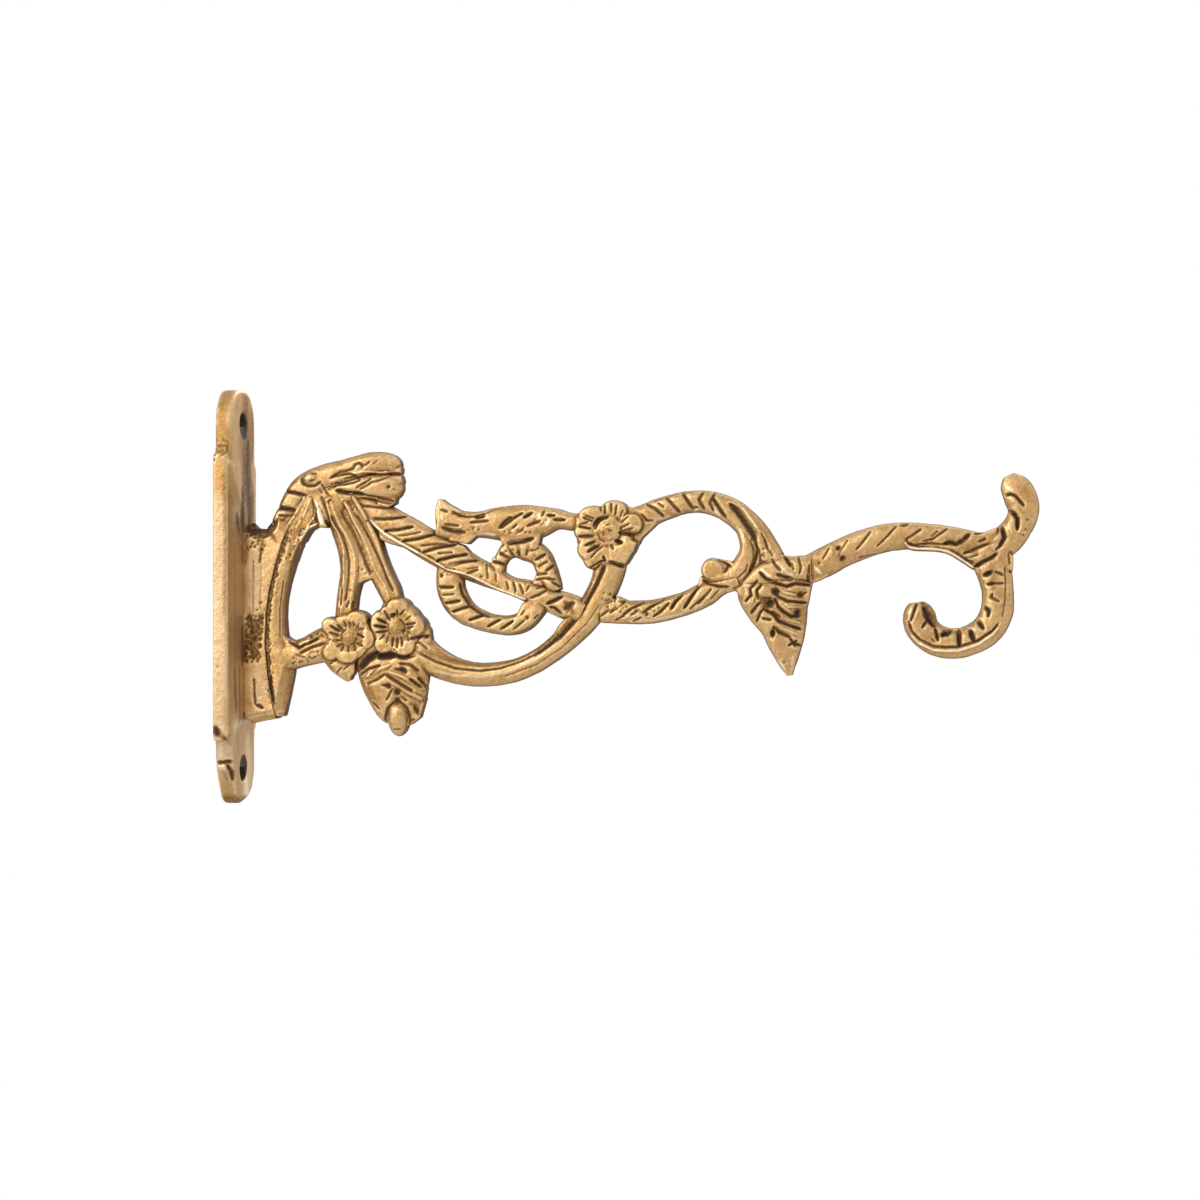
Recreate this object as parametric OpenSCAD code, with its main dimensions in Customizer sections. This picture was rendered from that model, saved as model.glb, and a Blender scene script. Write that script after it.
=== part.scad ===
// Cast brass wall bracket: a screw plate carrying a long openwork arm of rope, leaves and flowers
// that ends in a curled hook. Millimetres, +Z up. The wall is the plane X = 0, the arm reaches out
// along +X and Y runs along the wall. The origin is the middle of the plate's back face.

/* [Plate] */
// Height of the plate, from end to end
plate_h = 101.5; // [96:0.5:116]
// Width of the plate beside the arm
plate_w = 26; // [24:0.5:32]
// Width of the flat screw pad at each end
pad_w = 21; // [19:0.5:23]
// Thickness of the plate at its screw pads
plate_t = 4.4; // [3.8:0.1:6]
// Thickness of the plate along its long edges, beside the arm
edge_t = 4; // [3:0.1:4.4]
// How far the middle of the plate swells forward under the arm
ridge_t = 1.2; // [0.8:0.1:2.4]

/* [Wall holes] */
// Distance between the two wall screw holes
hole_pitch = 84; // [80:1:88]
// Diameter of the two wall screw holes
hole_d = 6; // [4:0.5:7]

/* [Arm] */
// Reach from the wall to the outermost edge of the hook
reach = 197.5; // [180:0.5:215]
// Width of the twisted rope stems, seen from the side: the other stems follow in proportion
rope_w = 6.4; // [6:0.1:7]
// Thickness of the rope stems across the arm: the rest of the arm follows in proportion
rope_t = 6.4; // [5.6:0.2:7.6]

/* [Flowers] */
// Diameter of the two lower flowers
low_flower_d = 15.5; // [14.5:0.5:16.5]
// Diameter of the flower in the middle of the arm
mid_flower_d = 16.5; // [15.5:0.5:17.5]

/* [Fixing screws] */
// Thread diameter of the two screws that hold the arm on the plate
screw_d = 4; // [3:0.5:4.5]
// Overall length of those screws
screw_l = 10; // [8.5:0.5:10]

/* [Hidden] */
brass = [0.76, 0.60, 0.36];
brass_shade = [0.66, 0.50, 0.28];
screw_steel = [0.62, 0.60, 0.56];

// The arm is drawn at its standard reach with its foot 5.6 mm off the wall, then fitted to the plate
drawn_reach = 197.5;
drawn_foot = 5.6;
foot_x = plate_t + ridge_t;
stretch = (reach - foot_x) / (drawn_reach - drawn_foot);
widen = rope_w / 6.4;
thicken = rope_t / 6.4;
half_h = plate_h / 2;
shoulder = half_h - 16;
foot_t = 9 * thicken;
screw_head_d = 2 * screw_d;
screw_head_h = screw_d / 2;
screw_high = 8;
screw_low = -20;
sides = 8;
steps = 3;

// Fits a drawn X to the chosen plate and reach
function out(x) = foot_x + (x - drawn_foot) * stretch;

// A smooth line through the stations of a stem: each is [x, z, half width, half thickness]
function between(p, i, t) =
    let (a = p[max(i - 1, 0)], b = p[i], c = p[i + 1], d = p[min(i + 2, len(p) - 1)])
    0.5 * (2 * b + (c - a) * t + (2 * a - 5 * b + 4 * c - d) * t * t
        + (3 * b - a - 3 * c + d) * t * t * t);
function smooth_line(p) = concat(
    [for (i = [0 : len(p) - 2], k = [0 : steps - 1]) between(p, i, k / steps)],
    [p[len(p) - 1]]);
function heading(q, i) =
    let (a = q[max(i - 1, 0)], b = q[min(i + 1, len(q) - 1)], d = [b[0] - a[0], b[1] - a[1]])
    d / norm(d);

// A cast stem with a full oval section, swept through its stations
module stem(stations, w = widen, t = thicken) {
    line = smooth_line([for (s = stations) [out(s[0]), s[1], s[2] * w, s[3] * t]]);
    last = len(line) - 1;
    rim = [for (j = [0 : sides - 1]) let (a = 360 * j / sides, full = j % 2 == 0 ? 1 : 1.14)
        [cos(a) * full, sin(a) * full]];
    points = [for (i = [0 : last], r = rim) let (s = line[i], d = heading(line, i))
        [s[0] - d[1] * s[2] * r[0], s[3] * r[1], s[1] + d[0] * s[2] * r[0]]];
    skin = [for (i = [0 : last - 1], j = [0 : sides - 1])
        let (a = i * sides + j, b = i * sides + (j + 1) % sides)
        each [[a, b, b + sides], [a, b + sides, a + sides]]];
    start = [for (j = [sides - 1 : -1 : 0]) j];
    end = [for (j = [0 : sides - 1]) last * sides + j];
    polyhedron(points, concat(skin, [start, end]));
}

// Turns a flat drawing in X and Z into a slab centred on Y = 0
module slab(thickness) {
    rotate([90, 0, 0]) linear_extrude(thickness, center = true) children();
}

// A petal or boss: a round pad with bevelled rims, its axis along Y
module pad(x, z, r, thickness) {
    half = thickness / 2;
    translate([x, 0, z]) rotate([90, 0, 0]) rotate_extrude($fn = 32)
        polygon([[0, -half], [r * 0.6, -half], [r, -half * 0.6], [r, half * 0.6],
            [r * 0.6, half], [0, half]]);
}

// A flower: petals in a ring round a boss that stands proud of them
module flower_form(x, z, d, petals, turn, thickness) {
    petal_r = d * (petals == 5 ? 0.23 : 0.2);
    ring_r = d / 2 - petal_r;
    for (i = [0 : petals - 1])
        pad(out(x) + ring_r * cos(turn + i * 360 / petals),
            z + ring_r * sin(turn + i * 360 / petals), petal_r, thickness);
    pad(out(x), z, d * 0.24, thickness - 0.6);
    pad(out(x), z, d * 0.13, thickness + 1.4);
}

// One countersunk screw entering the plate from the wall side
module fixing_screw(z, clearance) {
    translate([0, 0, z]) rotate([0, 90, 0]) {
        cylinder(h = screw_head_h, d1 = screw_head_d, d2 = screw_d, $fn = 48);
        cylinder(h = screw_l, d = screw_d + clearance, $fn = 48);
    }
}

// The tongue that forms both screw pads: round top end, bottom end filed to a taper
module plate_outline() {
    round_r = 8;
    half_pad = pad_w / 2;
    union() {
        translate([-half_pad, 0]) square([pad_w, half_h - round_r]);
        for (side = [-1, 1]) translate([side * (half_pad - round_r), half_h - round_r])
            circle(r = round_r, $fn = 64);
        translate([round_r - half_pad, 0]) square([pad_w - 2 * round_r, half_h]);
        polygon([[-half_pad, 0], [-half_pad, 14 - half_h], [-half_pad + 1, 8 - half_h],
            [-half_pad + 5, 1.5 - half_h], [-half_pad + 8, -half_h], [half_pad - 6, 1 - half_h],
            [half_pad - 2, 3 - half_h], [half_pad, 7 - half_h], [half_pad, 0]]);
    }
}

// The broad middle of the plate, chamfered from a flat seat down to its long edges
module plate_middle() {
    flat = foot_t / 2;
    intersection() {
        translate([0, 0, -shoulder]) linear_extrude(2 * shoulder)
            polygon([[0, -plate_w / 2], [edge_t, -plate_w / 2], [foot_x, -flat],
                [foot_x, flat], [edge_t, plate_w / 2], [0, plate_w / 2]]);
        slab(plate_w + 2) polygon([[-1, -shoulder], [edge_t - 1, -shoulder],
            [foot_x, -shoulder + 5], [foot_x, shoulder - 5], [edge_t - 1, shoulder],
            [-1, shoulder]]);
    }
}

module back_plate() {
    color(brass) difference() {
        union() {
            rotate([90, 0, 90]) linear_extrude(plate_t) plate_outline();
            plate_middle();
        }
        for (side = [-1, 1]) translate([-1, 0, side * hole_pitch / 2]) rotate([0, 90, 0])
            cylinder(h = foot_x + 2, d = hole_d, $fn = 64);
        fixing_screw(screw_high, 0.2);
        fixing_screw(screw_low, 0.2);
    }
}

module arm_fixing_screws() {
    slot_w = 1;
    color(screw_steel) for (z = [screw_high, screw_low]) difference() {
        fixing_screw(z, 0);
        translate([-1, -screw_head_d, z - slot_w / 2])
            cube([1 + screw_head_h / 2, 2 * screw_head_d, slot_w]);
    }
}

// The slab that seats the arm on the plate, with a slim spine running up the plate above it
module foot_form() {
    slab(foot_t) polygon([for (p = [[5.6, -29.2], [7.2, -31], [13.4, -29.8], [11.6, -19.5],
        [10.9, -12], [11.1, -4], [12, 2], [13.4, 7.5], [15, 13], [17, 18], [13, 19.5], [10.6, 16.8],
        [8.2, 16.8], [6.8, 19], [5.6, 23]]) [out(p[0]), p[1]]]);
}

module arm_foot() {
    color(brass) difference() {
        foot_form();
        crown_upper_form();
        fixing_screw(screw_high, 0);
        fixing_screw(screw_low, 0);
    }
}

module root_rib_form() {
    stem([[21.5, 20.5, 2.8, 3.9], [17.7, 14.3, 2.6, 3.9], [15.2, 8, 2.3, 4], [13.6, 2, 2.2, 4],
        [12.9, -4, 2.2, 4], [13.1, -10.5, 2.5, 4], [14.2, -17, 3.3, 4], [14.2, -22, 2.6, 4],
        [13.6, -29.3, 1.9, 4]]);
}

module root_rib() {
    color(brass_shade) difference() {
        root_rib_form();
        foot_form();
        crown_upper_form();
    }
}

// The crown is a closed leaf with an upper and a lower lobe, like a beak
module crown_upper_form() {
    stem([[12.6, 17.4, 1.3, 4.2], [15.6, 21.3, 2.5, 4.3], [19.3, 26.1, 3.5, 4.4],
        [24.2, 28.5, 3.8, 4.4], [30.4, 30.4, 3.4, 4.3], [36.4, 32.4, 2.9, 4.1],
        [41, 32.5, 2.6, 3.6], [43.9, 31.9, 1.2, 2.4]]);
}

module crown_leaf_upper() {
    color(brass) crown_upper_form();
}

module crown_lower_form() {
    stem([[21, 20, 3, 4.2], [25.6, 21.8, 4.4, 4.2], [30.5, 25.4, 3.5, 4.2], [36, 26.7, 3.5, 4.1],
        [41.2, 26.8, 3.7, 3.8], [44.5, 27.2, 2, 2.6]]);
}

module crown_leaf_lower() {
    color(brass_shade) difference() {
        crown_lower_form();
        crown_upper_form();
        root_rib_form();
    }
}

module stem_left_form() {
    stem([[27.2, 24.5, 2.8, 3.6], [29, 18, 3.2, 3.6], [31, 12, 3.3, 3.6], [31.9, 6.4, 3.4, 3.6],
        [30.8, 0, 3.1, 3.6], [30.2, -6.5, 3, 3.6]]);
}

module middle_stem_left() {
    color(brass) difference() {
        stem_left_form();
        crown_lower_form();
        crown_upper_form();
        root_rib_form();
        low_left_form();
    }
}

module stem_right_form() {
    stem([[31, 25, 2.6, 3.6], [34, 19, 3.1, 3.6], [36.4, 13, 3.4, 3.6], [38.6, 7, 3.4, 3.6],
        [41.4, 0.8, 3, 3.6], [43.3, -4, 2.4, 3.6]]);
}

module middle_stem_right() {
    color(brass) difference() {
        stem_right_form();
        crown_lower_form();
        stem_left_form();
        low_right_form();
    }
}

module cross_branch_form() {
    stem([[14, -15, 3.9, 3.4], [19.4, -13.6, 3.6, 3.4], [23.4, -12.2, 4.2, 3.4],
        [26.6, -11, 4.6, 3.4]]);
}

module cross_branch() {
    color(brass_shade) difference() {
        cross_branch_form();
        root_rib_form();
        foot_form();
        low_left_form();
    }
}

module low_left_form() {
    flower_form(31.4, -9.6, low_flower_d, 5, 92, 8.6 * thicken);
}

module low_right_form() {
    flower_form(43.2, -8, low_flower_d, 5, 84, 9 * thicken);
}

module flower_lower_left() {
    color(brass) difference() {
        low_left_form();
        low_right_form();
    }
}

module flower_lower_right() {
    color(brass) low_right_form();
}

module leaf_tip() {
    color(brass_shade) difference() {
        stem([[26, -12, 3.2, 3], [27.6, -14.8, 3.7, 3], [29.8, -17.6, 2.8, 2.8],
            [31.2, -20.5, 0.9, 1.6]]);
        low_left_form();
        cross_branch_form();
        leaf_drop_form();
    }
}

module leaf_drop_form() {
    stem([[43, -11, 8, 3.4], [42.2, -15.5, 9.3, 3.8], [42.2, -19.5, 9.1, 3.8],
        [43.1, -23.6, 7.9, 3.6], [44, -27.2, 6.6, 3.2], [44.6, -29.8, 4.8, 2.4]], 1);
}

module leaf_drop() {
    color(brass) difference() {
        leaf_drop_form();
        low_left_form();
        low_right_form();
        bud_form();
    }
}

// The bud is a plump drop turned about its own upright axis
module bud_form() {
    bud_r = 3.1 * thicken;
    bud_h = 5;
    translate([out(43.3), 0, -29.3]) rotate_extrude($fn = 32)
        polygon(concat([for (a = [-90 : 15 : 90]) [max(0, bud_r * cos(a)), bud_h * sin(a)]]));
}

module leaf_bud() {
    color(brass_shade) bud_form();
}

module rope_band_form() {
    stem([[36, 20.8, 3.8, 3.2], [44.4, 16.4, 3.9, 3.2], [50.2, 12.9, 4, 3.2],
        [56, 9.8, 4, 3.2], [62, 6.7, 3.3, 3.2], [66.5, 4.8, 3, 3.2], [71, 2.7, 2.3, 3.2],
        [75.5, 1.3, 2.9, 3.2], [80, -0.6, 3, 3.2], [84.5, -2.2, 3.4, 3.2], [89, -4, 3.4, 3.2]]);
}

module rope_band() {
    color(brass) difference() {
        rope_band_form();
        crown_upper_form();
        crown_lower_form();
        stem_left_form();
        stem_right_form();
        curved_stem_form();
    }
}

module rope_scroll_form() {
    stem([[56.4, 8.5, 3.5, 3], [56.1, 3.2, 3.5, 3], [57.2, -0.8, 3.4, 3], [59.4, -3.9, 3, 3],
        [62.8, -5.6, 2.5, 3], [66.6, -6.6, 2.4, 3], [71, -7, 2.6, 3], [74.8, -5.7, 2.9, 3],
        [77.2, -3.4, 2.7, 3], [78.6, -0.8, 2.4, 3]]);
}

module rope_scroll() {
    color(brass_shade) difference() {
        rope_scroll_form();
        rope_band_form();
    }
}

module loop_form() {
    stem([[67.6, 5, 1.9, 2.9], [68.3, 9.2, 1.9, 2.9], [70.2, 12, 2.2, 2.9], [74.4, 11.8, 2.4, 2.9],
        [78.4, 9.9, 2.6, 2.9], [79.9, 6.2, 2.8, 2.9], [81.7, 2.4, 2.2, 2.9], [83.4, -0.6, 1.9, 2.9]]);
}

module scroll_loop() {
    color(brass_shade) difference() {
        loop_form();
        rope_band_form();
        tail_leaf_form();
    }
}

// A leaf shaped like a fish tail, its forked end towards the plate
module tail_leaf_form() {
    stem([[52.5, 18.2, 4.2, 3.1], [57.8, 17.2, 4.3, 3.1], [62.5, 17.5, 3.3, 3.1],
        [68, 17.7, 4.1, 3.1], [73, 17.6, 4.9, 3.1], [78, 18, 4.2, 3.1], [82.5, 18.8, 2.7, 3.1],
        [90.5, 18.5, 3, 3.1]]);
    slab(4 * thicken) polygon([for (p = [[52.5, 18], [52.4, 21.4], [53.6, 23.6], [55.4, 22.4],
        [58.6, 21], [58.6, 18]]) [out(p[0]), p[1]]]);
}

module tail_leaf() {
    color(brass) difference() {
        tail_leaf_form();
        rope_band_form();
        flower_centre_form();
    }
}

module curved_stem_form() {
    stem([[47.5, -11.5, 4.4, 3.4], [50.4, -14.2, 4.5, 3.4], [53.5, -16.4, 3.7, 3.4],
        [57.5, -18, 3.1, 3.4],
        [62.3, -18.9, 2.9, 3.4], [68, -18.7, 2.8, 3.4], [74, -17.1, 2.9, 3.4],
        [80, -13.7, 3.1, 3.4], [86.2, -8.4, 3.4, 3.4], [90.8, -3, 3.7, 3.4], [94, 3, 3.8, 3.4],
        [95.4, 8.5, 4.2, 3.4], [95.6, 13, 4, 3.4]]);
}

module curved_stem() {
    color(brass) difference() {
        curved_stem_form();
        low_right_form();
        leaf_drop_form();
        flower_centre_form();
    }
}

module flower_centre_form() {
    thickness = 9 * thicken;
    flower_form(94.9, 15.3, mid_flower_d, 6, 32, thickness);
    pad(out(98), 10.8, mid_flower_d * 0.22, thickness);
    pad(out(91.2), 11.2, mid_flower_d * 0.21, thickness);
}

module flower_centre() {
    color(brass) flower_centre_form();
}

module rope_arch_form() {
    stem([[97.5, 16.6, 3.8, 3.2], [103, 18.9, 3.3, 3.2], [108.6, 21.3, 3, 3.2],
        [114.8, 22.9, 2.7, 3.2], [120.4, 22.5, 2.8, 3.2], [125.4, 20.1, 3.1, 3.2],
        [129.8, 15.7, 3.3, 3.2], [133.2, 10.8, 3.3, 3.2], [136, 5.6, 3.2, 3.2]]);
}

module rope_arch() {
    color(brass) difference() {
        rope_arch_form();
        flower_centre_form();
        calyx_form();
    }
}

module inner_curl_form() {
    stem([[127, 15.5, 2, 3], [128.4, 11, 2.1, 3], [127.9, 7.6, 2.7, 3], [125.6, 5.1, 2.8, 3],
        [123, 4.2, 2.3, 2.9], [119.8, 5, 1.6, 2.6]]);
}

module inner_curl() {
    color(brass_shade) difference() {
        inner_curl_form();
        rope_arch_form();
        ball_form();
        calyx_form();
    }
}

// The small ball that closes the inner curl
module ball_form() {
    translate([out(120), 0, 6.3]) sphere(r = 2.9 * thicken, $fn = 48);
}

module ball_terminal() {
    color(brass) ball_form();
}

module lower_rope() {
    color(brass_shade) difference() {
        stem([[93, -3.4, 3, 3.1], [99.5, -3.7, 3.1, 3.1], [105, -3.6, 3.1, 3.1],
            [110, -2.6, 3, 3.1], [114.4, -1.2, 3, 3.1], [118.4, 0.7, 3.1, 3.1],
            [122.4, 2.5, 2.6, 3.1], [126.4, 3.8, 2.2, 3]]);
        curved_stem_form();
        inner_curl_form();
        ball_form();
        calyx_form();
        leaf_pendant_form();
    }
}

// The cup that gathers the arch, the curl, the hook bar and the hanging leaf
module calyx_form() {
    stem([[128.4, 3.4, 2, 3.6], [131.8, 5, 3.2, 3.9], [135.8, 6.3, 3.5, 4.1], [140, 6.5, 3.4, 4.1],
        [143.6, 6.7, 3.2, 3.9]]);
}

module calyx_collar() {
    color(brass) calyx_form();
}

module leaf_pendant_form() {
    stem([[134.6, 4, 8.8, 3.2], [134.9, 1, 9.1, 3.2], [135.8, -2.6, 7.5, 3.1], [136.8, -7, 5.8, 3],
        [137.4, -11.6, 4.3, 2.8], [138.2, -15.8, 2.4, 2.4], [138.7, -18.9, 0.8, 1.4]], 1);
}

module leaf_pendant() {
    color(brass) difference() {
        leaf_pendant_form();
        calyx_form();
        inner_curl_form();
    }
}

module hook_bar_form() {
    stem([[142, 6.6, 3, 3.2], [146, 7.9, 3.6, 3.2], [150.6, 10.3, 3.4, 3.2],
        [155.4, 12.3, 3.4, 3.2], [160.4, 13.8, 3.3, 3.2], [165.6, 14.4, 3.2, 3.2],
        [171, 14.2, 3.1, 3.2], [176, 13.4, 3.2, 3.2], [180.6, 12, 3.6, 3.2],
        [184.6, 10.4, 4.2, 3.2]]);
}

module hook_bar() {
    color(brass) difference() {
        hook_bar_form();
        calyx_form();
        hook_curl_form();
    }
}

module hook_curl_form() {
    stem([[184.6, 12, 4.5, 3.3], [186.4, 7, 4.4, 3.3], [187.5, 1.6, 3.9, 3.3],
        [187.3, -3.6, 4, 3.3], [184.9, -7.9, 3.8, 3.3], [180.4, -10.5, 3.5, 3.3],
        [176, -11, 3.6, 3.3], [172.3, -9.8, 3.8, 3.3], [169.8, -7.2, 4, 3.3],
        [169, -4.3, 4, 3.2], [168.5, -1.9, 2.9, 2.6], [168.3, -0.7, 1.4, 1.6]]);
}

module hook_curl() {
    color(brass) hook_curl_form();
}

module hook_tail() {
    color(brass_shade) difference() {
        stem([[186.6, 10.6, 3.4, 3.1], [190, 13.7, 3.9, 3.1], [192.4, 16.8, 3.7, 3],
            [193.7, 20.4, 3.9, 2.9], [192.7, 24, 4.3, 2.7], [191.1, 27, 3.4, 2.2],
            [190.4, 28.9, 1.3, 1.2]]);
        hook_curl_form();
        hook_bar_form();
    }
}

back_plate();
arm_fixing_screws();
arm_foot();
root_rib();
crown_leaf_upper();
crown_leaf_lower();
middle_stem_left();
middle_stem_right();
cross_branch();
flower_lower_left();
flower_lower_right();
leaf_tip();
leaf_drop();
leaf_bud();
rope_band();
rope_scroll();
scroll_loop();
tail_leaf();
curved_stem();
flower_centre();
rope_arch();
inner_curl();
ball_terminal();
lower_rope();
calyx_collar();
leaf_pendant();
hook_bar();
hook_curl();
hook_tail();
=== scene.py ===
# %% [markdown]
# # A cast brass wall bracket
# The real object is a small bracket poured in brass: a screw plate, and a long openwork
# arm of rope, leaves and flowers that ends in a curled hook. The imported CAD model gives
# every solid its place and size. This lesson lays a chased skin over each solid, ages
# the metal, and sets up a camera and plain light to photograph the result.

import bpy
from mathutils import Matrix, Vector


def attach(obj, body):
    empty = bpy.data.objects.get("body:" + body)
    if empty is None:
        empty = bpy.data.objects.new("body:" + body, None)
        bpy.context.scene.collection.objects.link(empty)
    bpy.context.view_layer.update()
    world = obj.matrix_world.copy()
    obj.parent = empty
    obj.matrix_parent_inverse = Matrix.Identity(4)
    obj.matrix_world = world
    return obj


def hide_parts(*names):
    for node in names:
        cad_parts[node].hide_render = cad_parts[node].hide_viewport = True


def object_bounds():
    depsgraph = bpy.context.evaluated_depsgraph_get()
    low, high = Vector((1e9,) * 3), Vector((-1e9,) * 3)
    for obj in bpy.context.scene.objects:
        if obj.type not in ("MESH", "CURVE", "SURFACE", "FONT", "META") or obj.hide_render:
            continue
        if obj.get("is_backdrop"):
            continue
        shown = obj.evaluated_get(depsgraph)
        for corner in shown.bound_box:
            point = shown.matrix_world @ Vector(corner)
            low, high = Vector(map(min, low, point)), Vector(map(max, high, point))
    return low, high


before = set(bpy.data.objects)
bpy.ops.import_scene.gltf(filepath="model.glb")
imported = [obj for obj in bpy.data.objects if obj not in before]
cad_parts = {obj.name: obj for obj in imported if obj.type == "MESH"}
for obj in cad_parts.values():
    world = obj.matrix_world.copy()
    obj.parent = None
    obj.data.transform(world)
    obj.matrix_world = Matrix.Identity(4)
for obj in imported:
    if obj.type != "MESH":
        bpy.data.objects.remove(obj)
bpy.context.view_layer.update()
print("CAD nodes:", len(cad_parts))

# %% Tools, and one unit
import math
import random

import bmesh
import bpy
import numpy as np
from mathutils import Matrix, Vector
from mathutils.bvhtree import BVHTree

MM = 0.001
scene = bpy.context.scene
chance = random.Random(7)

# %% [markdown]
# ## Wax first
# A founder makes such an arm in wax or wood, presses it in sand and pours brass into the
# hollow. The same order works here. A stem is a flattened ring of wax pulled along a few
# stations. Hand-made vertex lists could do it too, but pulling a ring with extrude keeps
# each stem closed and easy to read: a station says where, how wide and how thick.

# %% A smooth line through the stations of a stem
def smooth_line(stations, steps=8):
    """A curve through every station, [x, z, half width, half thickness] in millimetres."""
    p = np.array([stations[0], *stations, stations[-1]], float)
    line = []
    for a, b, c, d in zip(p, p[1:], p[2:], p[3:]):
        for t in np.linspace(0, 1, steps, endpoint=False):
            line.append(0.5 * (2 * b + (c - a) * t + (2 * a - 5 * b + 4 * c - d) * t ** 2
                               + (3 * b - a - 3 * c + d) * t ** 3))
    return np.array([*line, p[-1]])


def heading(line):
    """The unit direction of travel at each point of a line, in X and Z."""
    run = np.gradient(line[:, :2], axis=0)
    return run / np.linalg.norm(run, axis=1)[:, None]


# %% Pull a stem, press a pebble, cut a web
def flatten(verts, along, flat):
    """Spreads a round section until its two faces are flat and its edges stay round.
    A flat of 2 leaves it round, and 8 is nearly a slab."""
    for v in verts:
        radius = math.hypot(*(v.co[i] for i in along))
        if radius > 0:
            for i in along:
                v.co[i] *= radius ** (2 / flat - 1)


def pull_stem(stations, thick=None, bm=None, sides=28, flat=3.4):
    """Pulls a flattened ring of wax along the stations, closes both ends and gives back
    the wax, which is new unless bm says where the stem is added. A station without a half
    thickness of its own takes the stem's, thick."""
    bm = bmesh.new() if bm is None else bm
    line = smooth_line([[*s, thick][:4] for s in stations])
    ring = bmesh.ops.create_circle(bm, cap_ends=True, segments=sides, radius=1)["verts"]
    flatten(ring, [0], flat)
    # Each edge once, as in a set, but in the same order in every run
    edges = list(dict.fromkeys(e for v in ring for e in v.link_edges))
    before = Matrix.Identity(4)
    for i, ((x, z, wide, thick), (dx, dz)) in enumerate(zip(line, heading(line))):
        here = Matrix(((-dz * wide, 0, dx, x), (0, thick, 0, 0),
                       (dx * wide, 0, dz, z), (0, 0, 0, 1)))
        if i:
            made = bmesh.ops.extrude_edge_only(bm, edges=edges)["geom"]
            ring = [g for g in made if isinstance(g, bmesh.types.BMVert)]
            edges = [g for g in made if isinstance(g, bmesh.types.BMEdge)]
        bmesh.ops.transform(bm, matrix=here @ before.inverted(), verts=ring)
        before = here
    bmesh.ops.contextual_create(bm, geom=edges)
    return bm


def pull_bead(bm, points, wide, thick, flat=2.6, swell=0, above=0):
    """A thin rib of wax along a line. Above a height it swells by so much for each mm."""
    pull_stem([[x, z, wide, thick + swell * max(0, z - above)] for x, z in points], bm=bm,
              sides=16, flat=flat)


def press_pebble(bm, x, z, wide, tall, thick, turn=0, flat=3):
    """A rounded pad of wax, for petals, bosses and buds. Turn is in degrees."""
    made = bmesh.ops.create_uvsphere(bm, u_segments=24, v_segments=16, radius=1)["verts"]
    flatten(made, [0, 2], flat)
    place = (Matrix.Translation((x, 0, z)) @ Matrix.Rotation(math.radians(-turn), 4, "Y")
             @ Matrix.Diagonal((wide, thick, tall, 1)))
    bmesh.ops.transform(bm, matrix=place, verts=made)


def cut_web(bm, outline, thick, rim=0.7):
    """A flat web of wax cut to an outline, x, z, x, z and so on, its rims rounded."""
    corners = np.reshape(outline, (-1, 2))
    face = [bm.faces.new([bm.verts.new((x, -thick, z)) for x, z in corners])]
    raised = bmesh.ops.extrude_face_region(bm, geom=face)["geom"]
    bmesh.ops.translate(bm, vec=(0, 2 * thick, 0),
                        verts=[g for g in raised if isinstance(g, bmesh.types.BMVert)])
    both = [*face, *(g for g in raised if isinstance(g, bmesh.types.BMFace))]
    rims = list(dict.fromkeys(e for f in both for e in f.edges))
    bmesh.ops.bevel(bm, geom=rims, offset=rim, segments=3, profile=0.5, affect="EDGES",
                    material=-1)


# %% [markdown]
# ## One skin for each casting
# Petals, bosses and stems overlap in the wax and flow into each other in the brass. A
# boolean union would leave knife-sharp joints, so a voxel remesh fuses the shells into
# one skin of small even faces, and a light smoothing softens the joints as molten metal
# does. The sand leaves the surface slightly uneven, which two cloud textures add, one
# broad and one fine. The small faces are also what the chasing tools need next.

# %% Fuse the wax into one skin
pieces = {}
sand = bpy.data.textures.new("sand", "CLOUDS")
sand.noise_scale = 2.4 * MM
grain = bpy.data.textures.new("grain", "CLOUDS")
grain.noise_scale = 0.9 * MM


def fuse(node, bm, voxel=0.25, soften=7, uneven=0.16):
    """Turns the wax in millimetres into one skinned object in metres. Voxel is the size
    of its faces, soften counts smoothing rounds, and uneven is the depth of the sand."""
    bmesh.ops.recalc_face_normals(bm, faces=bm.faces)
    bmesh.ops.scale(bm, vec=(MM, MM, MM), verts=bm.verts)
    mesh = bpy.data.meshes.new(node + "_chased")
    bm.to_mesh(mesh)
    bm.free()
    piece = bpy.data.objects.new(node + "_chased", mesh)
    scene.collection.objects.link(piece)
    skin = piece.modifiers.new("skin", "REMESH")
    skin.mode = "VOXEL"
    skin.voxel_size = voxel * MM
    soft = piece.modifiers.new("soft", "SMOOTH")
    soft.factor, soft.iterations = 0.5, soften
    for texture, share in ((sand, 1), (grain, 0.5)):
        grit = piece.modifiers.new(texture.name, "DISPLACE")
        grit.texture, grit.texture_coords = texture, "LOCAL"
        grit.strength, grit.mid_level = share * uneven * MM, 1
    ready = piece.evaluated_get(bpy.context.evaluated_depsgraph_get())
    piece.data = bpy.data.meshes.new_from_object(ready)
    piece.modifiers.clear()
    pieces[node] = piece
    print(piece.name, "has", len(piece.data.vertices), "points")
    return piece
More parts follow.
